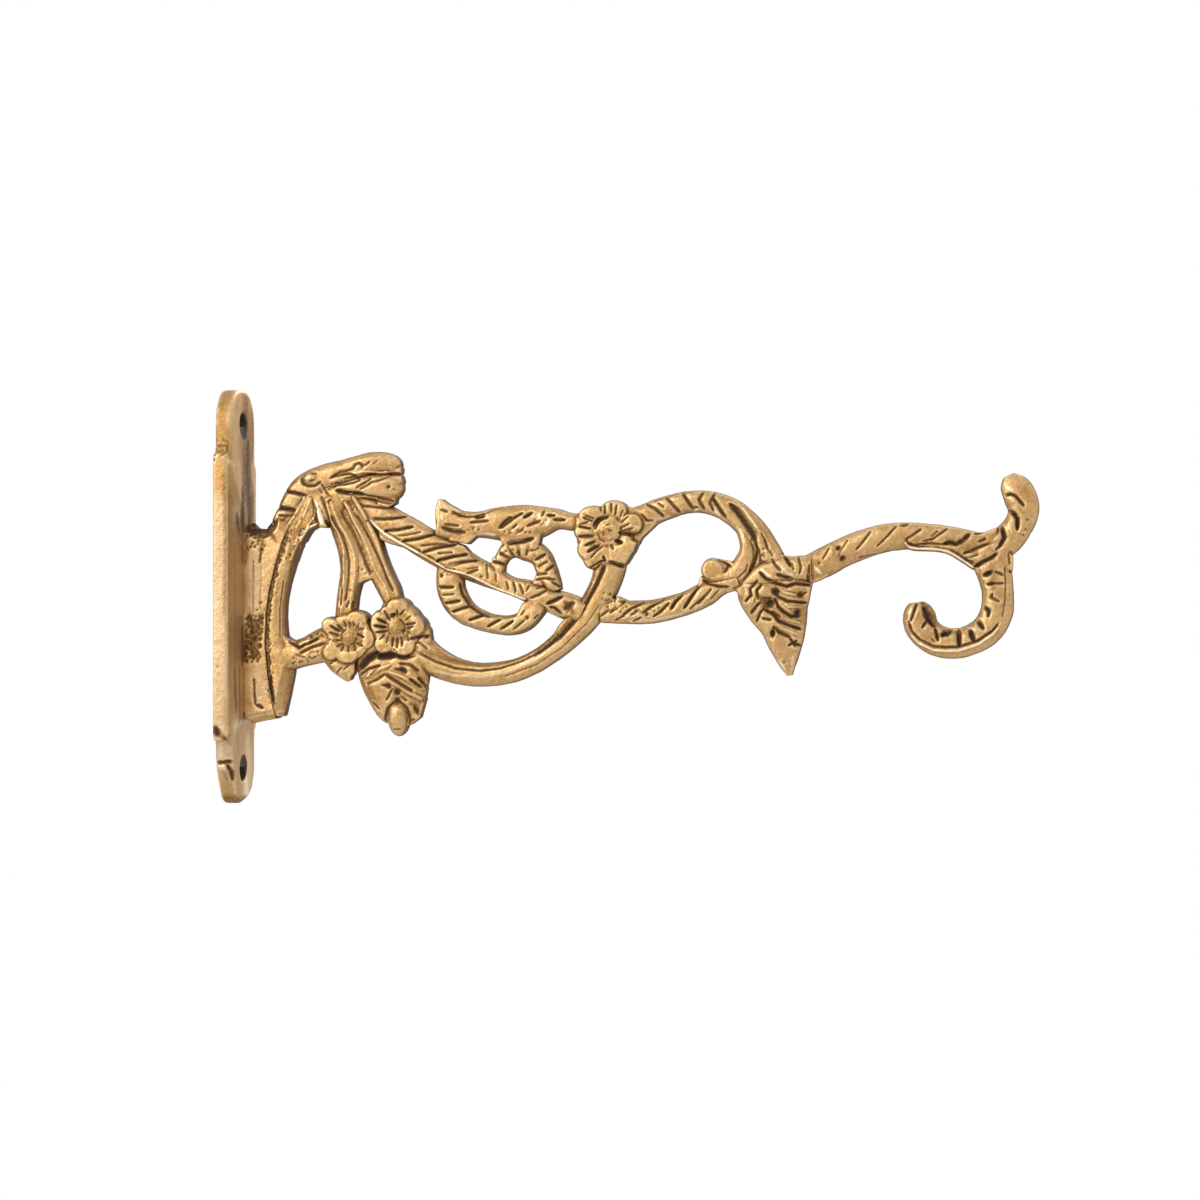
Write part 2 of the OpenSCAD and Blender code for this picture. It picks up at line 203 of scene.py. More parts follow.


# %% [markdown]
# ## Chasing
# After casting, a chaser deepens the drawing with small punches and a bent chisel. Each
# cut here is one stroke: half its width, its depth, and the line it follows on the face
# of the bracket, in millimetres. The stroke sinks the skin along its own normals, on the
# front and the back face alike, with a soft shoulder beside it where the metal was
# pushed away. A negative depth raises a bead. The cut leaves a mark of dark oxide,
# because oxide stays wherever the polishing wheel can't reach. Later tints add painted
# shade to the same mark.

# %% The chisel
TAPER, TIP = 1.5, 0.45  # a stroke narrows over 1.5 half widths to 0.45 of its width at a tip
FACING = 1.4  # the chisel bites fully where the skin faces it within 45 degrees
FLOOR_WIDE, FLOOR_DEEP = 0.8, 0.55  # the floor of a cut, as shares of its width and depth
SHOULDER_WIDE, SHOULDER_DEEP = 1.6, 0.16  # the soft shoulder beside it, the same way
SHOULDER_RIM = 0.25  # mm by which even the shoulder of the finest cut stands out


def spots(piece):
    """A piece's points in millimetres, and its normals."""
    count = len(piece.data.vertices)
    co, normal = np.empty(count * 3, np.float32), np.empty(count * 3, np.float32)
    piece.data.vertices.foreach_get("co", co)
    piece.data.vertices.foreach_get("normal", normal)
    return co.reshape(-1, 3) / MM, normal.reshape(-1, 3)


def marks(piece, name):
    """The values of a point attribute, made empty if it is new."""
    found = piece.data.attributes.get(name) or piece.data.attributes.new(name, "FLOAT", "POINT")
    values = np.zeros(len(piece.data.vertices), np.float32)
    found.data.foreach_get("value", values)
    return found, values


def settle(piece, co):
    """Moves a piece's points to new places, given in millimetres."""
    piece.data.vertices.foreach_set("co", (co * MM).astype(np.float32).ravel())
    piece.data.update()


def reach(points, wide, line):
    """How near each point is to a line, from 0 at its half width to 1 on it. The line is
    x, z, x, z and so on, or a list of [x, z]. One point alone makes a round spot."""
    line = np.array(line, float).reshape(-1, 2)
    share = np.zeros(len(points))
    low, high = line.min(0) - wide, line.max(0) + wide
    near = np.where(((points > low) & (points < high)).all(1))[0]
    if len(line) == 1:
        share[near] = np.clip(1 - np.hypot(*(points[near] - line[0]).T) / wide, 0, 1)
    lengths = np.hypot(*np.diff(line, axis=0).T)
    total, done = lengths.sum(), 0.0
    for a, b, length in zip(line, line[1:], lengths):
        t = np.clip((points[near] - a) @ (b - a) / length ** 2, 0, 1)
        gap = np.hypot(*(points[near] - a - t[:, None] * (b - a)).T)
        along = done + t * length
        taper = np.clip(np.minimum(along, total - along) / (TAPER * wide) + TIP, 0, 1)
        share[near] = np.maximum(share[near], np.clip(1 - gap / (wide * taper), 0, 1))
        done += length
    return share


def stroke(points, wide, line):
    """How much of a stroke each point takes: soft at its border and at its middle."""
    share = reach(points, wide, line)
    return share * share * (3 - 2 * share)


def chase(piece, cuts, where=None, dirty=1.0):
    """Sinks every cut into both faces. A cut is (half width, depth, x, z, x, z, ...) or
    (half width, depth, line). Where is a mask, and dirty the share of grime it leaves."""
    co, normal = spots(piece)
    flat = co[:, [0, 2]]
    oxide_and_shade, dirt_and_shade = marks(piece, "oxide_and_shade")
    mask = np.clip(FACING * np.abs(normal[:, 1]), 0, 1)
    if where is not None:
        mask = mask * where(co)
    sunk, shoulder, raised = np.zeros(len(co)), np.zeros(len(co)), np.zeros(len(co))
    for wide, deep, *line in cuts:
        share = stroke(flat, FLOOR_WIDE * wide, line) * mask
        if deep < 0:
            raised = np.maximum(raised, -deep * share)
            continue
        beside = stroke(flat, SHOULDER_WIDE * wide + SHOULDER_RIM, line) * mask
        sunk = np.maximum(sunk, FLOOR_DEEP * deep * share)
        shoulder = np.maximum(shoulder, SHOULDER_DEEP * deep * beside)
        # Deep cuts hold more oxide than shallow ones, and a little lies on their shoulders
        in_floor, on_shoulder = min(1.25, 0.45 + 0.8 * deep), 0.36 * min(1, deep)
        dirt_and_shade = np.maximum(dirt_and_shade, dirty * np.maximum(share * in_floor, beside * on_shoulder))
    co -= normal * (sunk + shoulder - raised)[:, None]
    settle(piece, co)
    oxide_and_shade.data.foreach_set("value", dirt_and_shade.astype(np.float32))


def tint(piece, mark, streaks, plane=(0, 2), where=None):
    """Marks the skin without cutting it: with painted highlight, or with dark oxide and
    painted shade. A streak is written as a cut is, with its strength for a depth.
    Plane says which two of the axes X, Y and Z it is drawn in."""
    co, _ = spots(piece)
    found, values = marks(piece, mark)
    mask = 1.0 if where is None else where(co)
    for wide, strength, *line in streaks:
        values = np.maximum(values, strength * stroke(co[:, list(plane)], wide, line) * mask)
    found.data.foreach_set("value", values.astype(np.float32))


def file_edge(piece, wide, thick, deep, line):
    """Files a flat bevel along an edge, on both faces. Thick is half the thickness."""
    co, _ = spots(piece)
    limit = thick - deep * reach(co[:, [0, 2]], wide, line)
    co[:, 1] = np.clip(co[:, 1], -limit, limit)
    settle(piece, co)


def ragged(line, step=0.7, stray=0.3, wide=0.42, deep=0.5):
    """Small pits scattered along a line, where a groove was punched, not cut. They come
    every step, stray by so much, and are about as wide and deep as it says."""
    line = np.array(line, float).reshape(-1, 2)
    along = np.concatenate([[0], np.cumsum(np.hypot(*np.diff(line, axis=0).T))])
    return [(wide * chance.uniform(0.7, 1.3), deep * chance.uniform(0.6, 1.2),
             *(np.interp(s, along, line[:, i]) + chance.uniform(-stray, stray) for i in (0, 1)))
            for s in np.arange(0, along[-1], step)]


# %% [markdown]
# ## The root: foot, rib and cross branch
# The arm is seated on the plate by a flat foot. The foot is all planes, so its skin
# starts from a copy of the CAD solid, merged first because its triangles are loose. A
# broad strap of metal beside it forms the root rib, split from the foot by one ragged
# groove that widens to a wedge near the bottom. Both end on the same filed bevel.

# %% The arm's foot
def solid_copy(node):
    """The wax for a node whose CAD form is right: its own triangles, merged, in mm."""
    bm = bmesh.new()
    bm.from_mesh(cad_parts[node].data)
    bmesh.ops.scale(bm, vec=(1 / MM, 1 / MM, 1 / MM), verts=bm.verts)
    bmesh.ops.remove_doubles(bm, verts=bm.verts, dist=0.001)
    return bm


ROOT_GROOVE = [
    [16.4, 15], [15, 11.5], [14.2, 9], [13.5, 6.5], [12.9, 4], [12.3, 1], [11.8, -2], [11.5, -5],
    [11.3, -8], [11.4, -12], [11.6, -16], [11.8, -20]
]
WEDGE = [[11.8, -19.5], [12.2, -23], [12.9, -25.8]]


def root_groove(wide, deep):
    """The groove that parts foot and rib, with its wedge cut as wide and deep as given."""
    return [(0.4, 0.25, ROOT_GROOVE), *ragged(ROOT_GROOVE, 0.4, 0.45, 0.4, 0.7),
            (wide, deep, WEDGE), *ragged(WEDGE, 0.3, 0.6, 0.4, 0.9)]


FOOT_BEVEL = [[2, -31.2], [8, -30.6], [13.4, -29.8], [19.4, -28.8]]
SIDE_BEVEL = [[18, -15], [16.9, -22], [15.4, -31]]
FOOT_HOLLOW = [[4.6, 26], [6.4, 19.4], [8.4, 16.6], [10.6, 16.6], [13.6, 20.4]]
wax = solid_copy("arm_foot")
# The slim spine above it is left off: at this size it reads as a stain on the plate
bmesh.ops.bisect_plane(wax, geom=[*wax.verts, *wax.edges, *wax.faces], dist=0.001,
                       plane_co=(0, 0, 14.8), plane_no=(-0.5, 0, 1), clear_outer=True)
bmesh.ops.holes_fill(wax, edges=[e for e in wax.edges if e.is_boundary])
cut_web(wax, [4.5, 17, 7, 17.4, 7.6, -28.4, 4.5, -28.2], 4.4)
foot = fuse("arm_foot", wax, soften=10)
file_edge(foot, 2.6, 4.5, 1.2, FOOT_BEVEL)
file_edge(foot, 2.6, 4.5, 2.4, FOOT_HOLLOW)
file_edge(foot, 2.2, 4.5, 4.2, [[4, 18.4], [6, 18.2], [8, 17.8], [10.6, 16.6]])
file_edge(foot, 3.4, 4.5, 1.2, [[13.6, 20.4], [17.6, 17.6], [16.8, 14.4]])
chase(foot, [
    *root_groove(0.5, 0.8), (0.34, 0.5, 8, -19.8, 8.1, -23, 8.4, -26.2),
    (0.5, 0.9, 8.6, -26.3, 9.6, -26.7, 10.3, -27.2), (0.3, 0.12, 7.9, 9, 7.8, 2, 7.9, -4),
    (0.3, 0.1, 9.7, 12, 9.8, 4, 9.6, -3), (0.45, 0.5, 9.7, -1.5), (0.45, 0.3, 8.8, -3.2),
    *ragged([5, 16.6, 7.4, 15.6, 10.6, 15.6], 0.25, 1.0, 0.45, 0.9),
    *ragged([5.4, 12.4, 8, 14, 10.4, 12.4], 0.4, 1.3, 0.45, 0.6), (0.7, 1.0, 9.9, 11.6),
    (0.4, 0.4, 9.8, 11, 9.4, 8.4), (0.6, 0.7, 5, 10.8),
    # Coarse sand holes all over the slab from z = -4.5 down to -16
    *[(chance.uniform(0.4, 0.75), chance.uniform(0.3, 0.9),
       chance.uniform(6.2, 10.6) - 0.1 * i / 14, -4.5 - i / 14.5) for i in range(165)]
])
tint(foot, "oxide_and_shade", [
    (1.5, 0.85, 4.6, 17, 7, 16.3, 9.8, 16), (1.2, 0.5, 12, 16, 13.6, 13.4),
    (2.4, 0.9, 5, 20, 7, 17.6, 10, 16.6, 12.6, 18.4), (1.2, 0.35, 6, 19, 6.2, 12, 6, 8),
    (1.1, 0.4, 10.2, 15, 10.2, 10.5), (2.8, 0.45, 8.6, -6, 8.2, -9, 8, -14.5),
    (1.0, 0.4, 5.8, -7, 5.7, -10, 5.9, -16), (0.9, 0.35, ROOT_GROOVE[:8])
])
# Painted highlights along the foot's lower bevel and down its face
tint(foot, "painted_highlight", [
    (0.6, 0.35, 6.6, -29.6, 10, -28.8, 15.4, -27.8), (5, 0.18, 8.4, 12, 8.2, -4),
    (4, 0.15, 9, -18, 9, -27)
])

# %% The root rib
# Smooth beads fan out of its top end, where they run up to the knob of the crown
RIB_BEADS = [
    [[13, 9.7], [14.2, 13.4], [15.8, 16.6], [18.4, 20.4], [20.6, 24.6]],
    [[15.4, 8], [16.6, 12.6], [18.4, 16.8], [20.6, 20.4], [22, 24.4]],
    [[17.2, 8.6], [18.4, 12.4], [20.4, 16.2], [22.6, 19.2], [23.4, 21.6]],
    [[19.4, 13.6], [21.4, 16.6], [24.4, 18.2]]
]
wax = pull_stem([
    [20.7, 20.9, 3.2, 3.5], [17.1, 14.7, 3.3, 3.7], [14.7, 8.3, 3.2], [13.1, 2.1, 3.1], [12.4, -4, 3.1],
    [12.6, -10.4, 3.4, 3.9], [13.6, -16.9, 4, 4.1], [13.3, -22, 3.5, 4.3], [12.4, -29, 2.8, 4.3]
], 3.8)
cut_web(wax, [
    17, 17, 14, 12, 12.4, 4, 10.8, -4, 10.6, -12, 11.4, -22, 12.4, -28, 15, -27, 15.4, -16, 13.8, -8,
    13.6, 0, 15, 8, 17, 13, 19, 17
], 3.9)
for line, wide in zip(RIB_BEADS, (1.1, 1, 0.8, 0.7)):
    pull_bead(wax, line, wide, 4.1, flat=2.8, swell=-0.03, above=12)
rib = fuse("root_rib", wax)
file_edge(rib, 2.6, 4.3, 1.2, FOOT_BEVEL)
file_edge(rib, 3, 4.2, 3, SIDE_BEVEL)
chase(rib, [
    *root_groove(0.65, 1.0), (0.5, 0.5, 17.5, -16.3), (0.4, 0.4, 12.6, -18.6),
    *ragged([14.9, 10, 15.6, 13.6, 17, 17, 18.2, 19.4], 0.5, 0.4, 0.45, 0.6),
    *ragged([17.2, 9.8, 18.4, 13.4, 20.2, 16.6, 21.6, 19], 0.6, 0.5, 0.4, 0.5),
    *ragged([20, 13.6, 21.6, 16.4, 23, 18.6], 0.8, 0.5, 0.35, 0.35),
    *ragged([17, 13.4, 19.6, 17.6, 21.6, 21.6], 0.5, 1.5, 0.38, 0.6), (0.5, -0.4, 19.4, 12.3),
    (0.55, -0.4, 20.1, 16.3), (0.5, -0.4, 22.8, 19), (0.45, -0.3, 17.6, 15.4),
    (0.3, 0.2, 15.2, 4, 14.3, -3, 14.4, -10), (0.3, 0.3, 14, 5.4), (0.3, 0.3, 13.6, 1),
    (0.35, 0.4, 16, 9.4), (0.5, 0.5, 13.4, 19.4, 15.6, 19)
])
# Painted highlights on the outer bead, the raised dots and the lower bevel
tint(rib, "painted_highlight", [
    (0.6, 0.6, RIB_BEADS[3]), (0.7, 0.7, 19.4, 12.3), (0.8, 0.9, 20.1, 16.3),
    (0.8, 0.9, 22.8, 19, 23.6, 18), (0.6, 0.35, 10, -28.8, 15.4, -27.8)
])
tint(rib, "oxide_and_shade", [
    (0.6, 0.5, 18.6, 11.6, 17, 7, 16, 2, 15.4, -4, 15.8, -8.6, 16.8, -10.6), (0.9, 0.35, ROOT_GROOVE[:8]),
    (2.2, 0.35, SIDE_BEVEL), (1.3, 0.3, 16, 12, 17.6, 16, 19, 20)
])

# %% The cross branch and the small leaf under it
wax = pull_stem([
    [13, -15.2, 3.9, 3.9], [19.4, -13.6, 3.6, 3.7], [23.4, -12.2, 4.2, 3.6], [26.6, -11, 4.6, 3.5]
])
cut_web(wax, [13.4, -7.4, 15.9, -9.9, 19, -11.3, 19, -13, 14, -13], 3.2)
cut_web(wax, [22, -9.8, 25, -7.8, 28, -7, 29, -12, 26, -15, 22, -14], 3.5)
chase(fuse("cross_branch", wax), [
    (0.6, 1.0, 16.6, -10.9, 18, -11.5, 19.2, -12.4, 20.8, -11.3), (0.55, 1.0, 21, -11.5, 23.9, -10),
    (0.5, 0.7, 19.3, -13.8, 22.5, -12.2, 25.7, -11.3), (0.4, 0.5, 21, -9.2, 22.4, -9.8),
    (0.5, 0.4, 24.3, -8.8, 25.3, -10), (0.4, 0.4, 18.2, -14, 20.6, -14.8), (0.5, 0.5, 17.5, -16.3),
    (0.35, 0.3, 22, -15.2, 23.4, -14.6), (0.8, -0.3, 19.4, -12.9, 22.6, -11.5, 25, -10.6),
    *ragged([17.6, -15.6, 21, -15, 24.6, -13.4], 0.5, 0.9, 0.4, 0.5),
    *ragged([22, -10.4, 24.6, -9.2], 0.4, 0.7, 0.45, 0.7),
    *ragged([17, -10.2, 19, -11.6], 0.4, 0.5, 0.45, 0.7)
])
wax = pull_stem([
    [26, -12, 3.2, 3], [27.8, -14.6, 3.4, 3], [29.8, -17.6, 2.8, 2.8], [31.2, -20.5, 0.9, 1.6]
])
cut_web(wax, [20.5, -15, 25, -10, 27, -16.4, 23.4, -15.6], 2.6)
cut_web(wax, [29, -13, 33, -14, 32.8, -18.4, 31.2, -20.4, 29.4, -17], 2.4)
chase(fuse("leaf_tip", wax), [
    (0.5, 0.4, 26.4, -16.4, 28.4, -15.2), (0.45, 0.4, 30, -17.8, 31.4, -16.6),
    (0.45, 0.4, 28.2, -18.6, 29.6, -17.2)
])

# %% [markdown]
# ## The crown
# Where the arm leaves its root it opens into a closed leaf with two lobes. The upper
# lobe starts in a round knob, and has a small curl and a slit at its mouth. The lower
# one has a punched dot. A slanted facet under the knob, painted with a highlight, closes
# the long window.

# %% The two lobes of the crown leaf
CROWN_CUTS = [
    (0.45, 1.1, 41.4, 29.8, 45.6, 29.8),
    (0.4, 0.5, 41.6, 29.4, 39.2, 28.3, 37.3, 27.9, 36, 26.9, 34.4, 26.1),
    (0.4, 0.8, 27, 28.8, 29.5, 30.4, 31.1, 30.6, 32.8, 31.2, 33.2, 32.1, 34.2, 32.5, 35.1, 32,
     34.8, 31.2), (0.4, 0.4, 35.2, 31.6, 37, 32.9), (0.35, 0.2, 37.6, 32.2, 39, 33.2),
    (0.45, 0.7, 27.4, 29.2, 29.6, 29.6, 31.6, 29.9, 33.4, 29.4),
    (0.35, 0.6, 30.4, 28.6, 32, 28.9, 33.6, 29.1, 34.4, 28.4),
    (0.4, 0.7, 28, 27.6, 30.4, 27.4, 32.4, 27.7, 34.2, 28.3),
    (0.45, 0.6, 33.4, 26.4, 35, 27.4, 36.6, 28.4, 37, 29.2),
    (0.55, 0.7, 19.6, 29, 20.3, 27.5, 21.6, 27, 23.2, 27, 24.6, 28),
    (0.35, 0.4, 24.8, 27.6, 25.9, 25.5, 26.6, 24.6), (0.3, 0.35, 24.2, 26.2, 25, 25.1),
    (0.9, 1.5, 28.4, 26, 31.1, 25.3, 33.6, 25.1, 35.4, 24.7),
    (0.42, 0.9, 33.6, 25, 37.8, 24.2, 42.9, 23.1), (0.35, 0.7, 34.6, 24, 38, 23.4, 42, 22.5),
    (0.8, 1.1, 41.4, 26.7), (0.3, 0.2, 42.4, 26.2, 43.2, 26),
    (0.65, 1.0, 15.2, 25.9, 18, 25.4, 20.9, 24.6), (0.9, 1.2, 12.8, 22, 15.4, 21.6, 18.2, 21),
    (1.0, 1.3, 11.2, 18.6, 13.4, 17.9, 16.2, 17.2), (0.5, 0.6, 14, 19.9, 16.4, 19.7, 18.4, 20.1),
    (0.4, 0.5, 22.4, 23.6, 22.9, 20.8, 23.6, 17.8), (0.4, 0.8, 24.6, 24.4, 25.8, 21.4, 27.2, 17.6),
    (0.5, 0.4, 22, 28.2, 23.2, 28.4), (0.5, 0.5, 22.2, 30.2, 23.6, 30),
    *ragged([26.4, 26.6, 28.4, 27.6, 31, 28.2], 0.6, 0.4, 0.4, 0.6),
    (0.6, -0.3, 32.4, 29.9, 35.3, 30.5, 39.4, 30.2, 41.2, 30.4)
]
FACET = [[23.6, 22.8], [24.2, 20.6], [25, 17.8]]
wax = pull_stem([
    [12.6, 17.4, 1.3], [15.6, 21.3, 2.5], [19.3, 26.1, 3.5], [24.2, 28.5, 3.8, 4.1],
    [30.4, 30.4, 3.4, 4.2], [36.4, 32.4, 3, 4.1], [40.4, 32.6, 2.7, 3.7], [42.8, 32, 2.1, 3.2],
    [44, 31.4, 0.8, 1.8]
], 4)
cut_web(wax, [38, 29.6, 44.4, 29.6, 44.4, 31.4, 40, 32], 2.8)
press_pebble(wax, 21.9, 29, 2.7, 1.8, 4.6, 18)
upper = fuse("crown_leaf_upper", wax)
chase(upper, CROWN_CUTS)
# Painted highlights along two ridges of the upper lobe
tint(upper, "painted_highlight", [(0.5, 0.5, 33, 29.9, 35.3, 30.4, 39.4, 30.1), (0.4, 0.5, 31.2, 28.2, 33, 28.4)])
wax = pull_stem([
    [21, 20, 3, 3.6], [25.6, 21.8, 4.4, 3.7], [30.5, 25.4, 3.5, 4], [36, 26.7, 3.5, 4.1],
    [40.8, 26.7, 3.6, 3.8], [43.4, 26.8, 2.9, 3.2], [44.7, 26.9, 1.2, 2]
])
cut_web(wax, [38, 29, 42, 30, 44.3, 29.9, 44.8, 28, 42, 26], 3)
cut_web(wax, [38, 22, 41, 21.4, 43, 22.8, 43, 25, 38, 25], 2.8)
cut_web(wax, [14, 17.4, 16.6, 22.4, 20, 26, 27, 27.6, 30, 24, 26, 20, 21, 16.4, 17, 14.6], 3.5)
cut_web(wax, [23.2, 23.6, 24.6, 21.4, 26.4, 16.8, 24, 16.8, 23.3, 20.6], 4.1)
lower_lobe = fuse("crown_leaf_lower", wax)
chase(lower_lobe, CROWN_CUTS)
# The slanted facet under the knob is painted with a highlight
tint(lower_lobe, "painted_highlight", [(1.0, 1.0, FACET)])

# %% [markdown]
# ## The two middle stems
# A pair of stems falls from the crown to the lower flowers. They start as one broad
# fan of four ribs and part only round a small drop-shaped window. The ribs are beads
# of wax on a flat web, with a punched groove down the middle of the fan.

# %% The middle stems
STEM_RIBS = [
    (0.85, [[25.8, 24], [27.3, 18.3], [29, 15.3], [30.1, 11.6], [30.2, 7.6], [30.1, 3.4],
            [29.7, -1], [29.4, -6]]),
    (1.15, [[26.6, 24.6], [28.6, 18.8], [30.4, 15.6], [32, 12.6], [32.9, 9.4], [32.9, 5.6],
            [32.3, 2], [31.6, -5]]),
    (1.1, [[29, 25], [31.2, 21.8], [33, 18], [34.9, 14.6], [36.4, 11], [37.6, 7.4],
           [39.2, 4.6], [40.7, 2], [42, -3]]),
    (1.2, [[32.4, 24.6], [34.9, 20.5], [37, 16.4], [38.5, 12.8], [39.8, 8.8], [41.4, 5],
           [42.8, 2], [43.8, -2]])
]
FAN_GROOVE = [
    [29.2, 22.4], [30.1, 19.6], [31.6, 17.4], [33, 14.8], [33.9, 12.6], [35.1, 9.7], [36, 7.2],
    [36.8, 5.6]
]
STEM_CUTS = [
    (0.4, 0.6, 27.2, 19.6, 28.4, 17.2, 29.9, 14.8, 31, 11.6, 31.5, 8.7, 31.4, 5, 31.1, 2, 30.6, -1),
    (0.7, 0.5, FAN_GROOVE), *ragged(FAN_GROOVE, 0.45, 0.5, 0.42, 0.55),
    (0.42, 0.6, 33, 20.6, 33.8, 19.3, 35.3, 16.6, 36.9, 13.7, 38.2, 10.8, 39.7, 7.6, 41, 4.2, 42.4, 1.4),
    (0.35, 0.3, 36.6, 18.6, 38.6, 15), (0.35, 0.35, 41.8, 6.6), (0.3, 0.3, 41.6, 5.4),
    (0.5, 0.8, 29.7, 2, 29.6, 0.4, 29.4, -2), (0.4, 0.5, 31.7, 1.6), (0.4, 0.5, 31.4, -1, 30.8, -2.6),
    (0.6, 0.6, 32.6, -1.2, 32.4, -3), *ragged([33.4, 6.8, 34.8, 6, 36.4, 5.6], 0.5, 0.5, 0.35, 0.35)
]
wax = pull_stem([
    [27.2, 24.5, 2.8], [29, 18, 3.1], [31, 12, 3.2], [31.8, 6.4, 3.2], [30.7, 0, 2.9], [30.2, -6.5, 3]
], 3.3)
cut_web(wax, [30, 22, 38, 20, 38, 8, 38.9, 4.9, 37.6, 4.2, 35.6, 3.9, 34.2, 3.2, 31, 3], 3)
for wide, line in STEM_RIBS[:2]:
    pull_bead(wax, line, wide, 3.55, swell=0.05, above=14)
chase(fuse("middle_stem_left", wax), STEM_CUTS)
wax = pull_stem([
    [31, 25, 2.6], [34, 19, 3], [36.3, 13, 3.1], [38.4, 7, 3.1], [41.3, 0.8, 2.8], [43.3, -4, 2.4]
], 3.3)
for wide, line in STEM_RIBS[2:]:
    pull_bead(wax, line, wide, 3.55, swell=0.05, above=14)
chase(fuse("middle_stem_right", wax), STEM_CUTS)

# %% [markdown]
# ## Flowers
# Each flower is a ring of pressed pebbles round a domed boss. No two petals are alike,
# so each has its own place, size and turn. The fused skin leaves a natural valley
# between them. A shallow dish round the boss and short radial strokes punched in it
# stand for the stamens.

# %% A flower in wax
def press_flower(bm, petals, thick, boss, base):
    """Petals are [x, z, half width, half height, turn]. The boss, and the base disc that
    joins them all, are [x, z, radius]. Thick is half the thickness of a petal. The base
    lies a little under the petals, and the boss stands a little over them."""
    for x, z, wide, tall, turn in petals:
        press_pebble(bm, x, z, wide, tall, thick, turn, 9)
    for (x, z, radius), half, flat in ((base, thick - 0.2, 14), (boss, thick + 0.15, 8)):
        press_pebble(bm, x, z, radius, radius, half, 0, flat)


def ring(x, z, radius, first=0, last=360):
    """Points on a circle, or on part of one, in degrees."""
    return [[x + radius * math.cos(math.radians(a)), z + radius * math.sin(math.radians(a))]
            for a in np.linspace(first, last, 13)]


# %% The lower left flower
LEFT_BOSS = [31.6, -9.7, 1.6]
wax = bmesh.new()
press_flower(wax, [
    [33.5, -5.6, 3.1, 2.6, -10], [35.9, -10.1, 2.6, 3.1, 0], [31, -14, 3.4, 2.5, 0],
    [27.2, -13.2, 2.7, 2.5, 40], [27.2, -7.3, 3.1, 2.5, -30]
], 4.3, LEFT_BOSS, [31.6, -9.7, 6.2])
left = fuse("flower_lower_left", wax, 0.22)
chase(left, [(1.6, 0.7, ring(*LEFT_BOSS[:2], 2.9))], dirty=0.25)
chase(left, [
    (0.5, 0.45, ring(*LEFT_BOSS[:2], 2, 110, 215)), (0.5, 0.45, ring(*LEFT_BOSS[:2], 2, -80, 0)),
    (0.45, 0.9, 27, -7, 29.4, -8.4), (0.42, 0.8, 26.8, -8.6, 29.1, -9.5),
    (0.42, 0.7, 28.8, -6.6, 30.1, -8.3), (0.4, 0.6, 27.6, -10.6, 29.4, -10.6),
    (0.38, 0.5, 30.3, -5.8, 30.9, -7.3), (0.35, 0.5, 31.7, -6.1, 31.9, -7.5),
    (0.35, 0.4, 32.7, -5.9, 32.8, -7.3), (0.3, 0.3, 34.2, -6.4, 33.4, -7.7),
    (0.45, 0.8, 33.7, -9, 35.4, -9.9), (0.38, 0.6, 33.4, -11.2, 35, -12),
    (0.38, 0.6, 28.6, -12, 30, -11.4), (0.38, 0.5, 30.2, -11.6, 29.8, -13.2),
    (0.38, 0.5, 31.5, -11.7, 31.5, -13.2), (0.38, 0.5, 32.8, -11.5, 33.2, -13),
    (0.3, 0.4, 34, -8, 35.4, -7.6), (0.45, 0.5, 24.6, -10.2, 27, -10.4)
])
tint(left, "oxide_and_shade", [(4.5, 0.32, [LEFT_BOSS[:2]])])

# %% The lower right flower
RIGHT_BOSS = [43.4, -7.5, 1.8]
wax = bmesh.new()
press_flower(wax, [
    [43.6, -2.6, 3.2, 2.7, 0], [47.5, -6.8, 3.5, 2.9, -30], [45.3, -12, 3.2, 2.6, 8],
    [40.3, -11.4, 2.9, 2.7, 20], [39.1, -6.4, 2.6, 3.5, 0]
], 4.5, RIGHT_BOSS, [43.4, -7.5, 6.6])
cut_web(wax, [46, -9, 48, -5.4, 50.2, -5.6, 51.6, -8, 52, -11.4, 50, -13.6, 45, -13], 3, 1.6)
cut_web(wax, [38.8, -4, 39.6, -1.4, 41.4, -0.8, 42.4, -3], 3)
right = fuse("flower_lower_right", wax, 0.22)
chase(right, [(1.7, 0.7, ring(*RIGHT_BOSS[:2], 3.1))], dirty=0.25)
chase(right, [
    (0.5, 0.5, ring(*RIGHT_BOSS[:2], 2.2, -40, 70)), (0.45, 0.4, ring(*RIGHT_BOSS[:2], 2.2, 150, 230)),
    (0.55, 1.0, 38.8, -5.3, 41, -6.4), (0.55, 1.0, 38, -7, 40.9, -7.4), (0.5, 0.8, 38.3, -8.7, 41, -8.3),
    (0.42, 0.6, 39.3, -10.3, 40.5, -9.1), (0.45, 0.6, 40.4, -3.3, 41.7, -5.6),
    (0.6, 1.0, 42, -4.7, 43.2, -4.2), (0.38, 0.6, 43.6, -3, 43.7, -4.8),
    (0.4, 0.6, 44.2, -4.5, 45.6, -3.1), (0.42, 0.8, 45.8, -6.7, 48.2, -6.3),
    (0.4, 0.6, 46, -7.6, 47.7, -7.2), (0.38, 0.5, 45.6, -5.6, 47, -4.6), (0.6, 1.1, 45.2, -8.3),
    (0.75, 0.9, 46.8, -10, 49.1, -9.9, 51.4, -9.4), (0.42, 0.7, 42.5, -10, 42.5, -12),
    (0.42, 0.8, 43.6, -10, 43.6, -12.4), (0.42, 0.7, 44.6, -9.8, 44.9, -12),
    (0.4, 0.5, 45.9, -9.3, 46.5, -10.6), (0.35, 0.5, 41.4, -9.6, 41, -11.2),
    (0.5, 0.6, 43.4, -14, 42.9, -12.8)
])
tint(right, "oxide_and_shade", [(4.5, 0.32, [RIGHT_BOSS[:2]])])

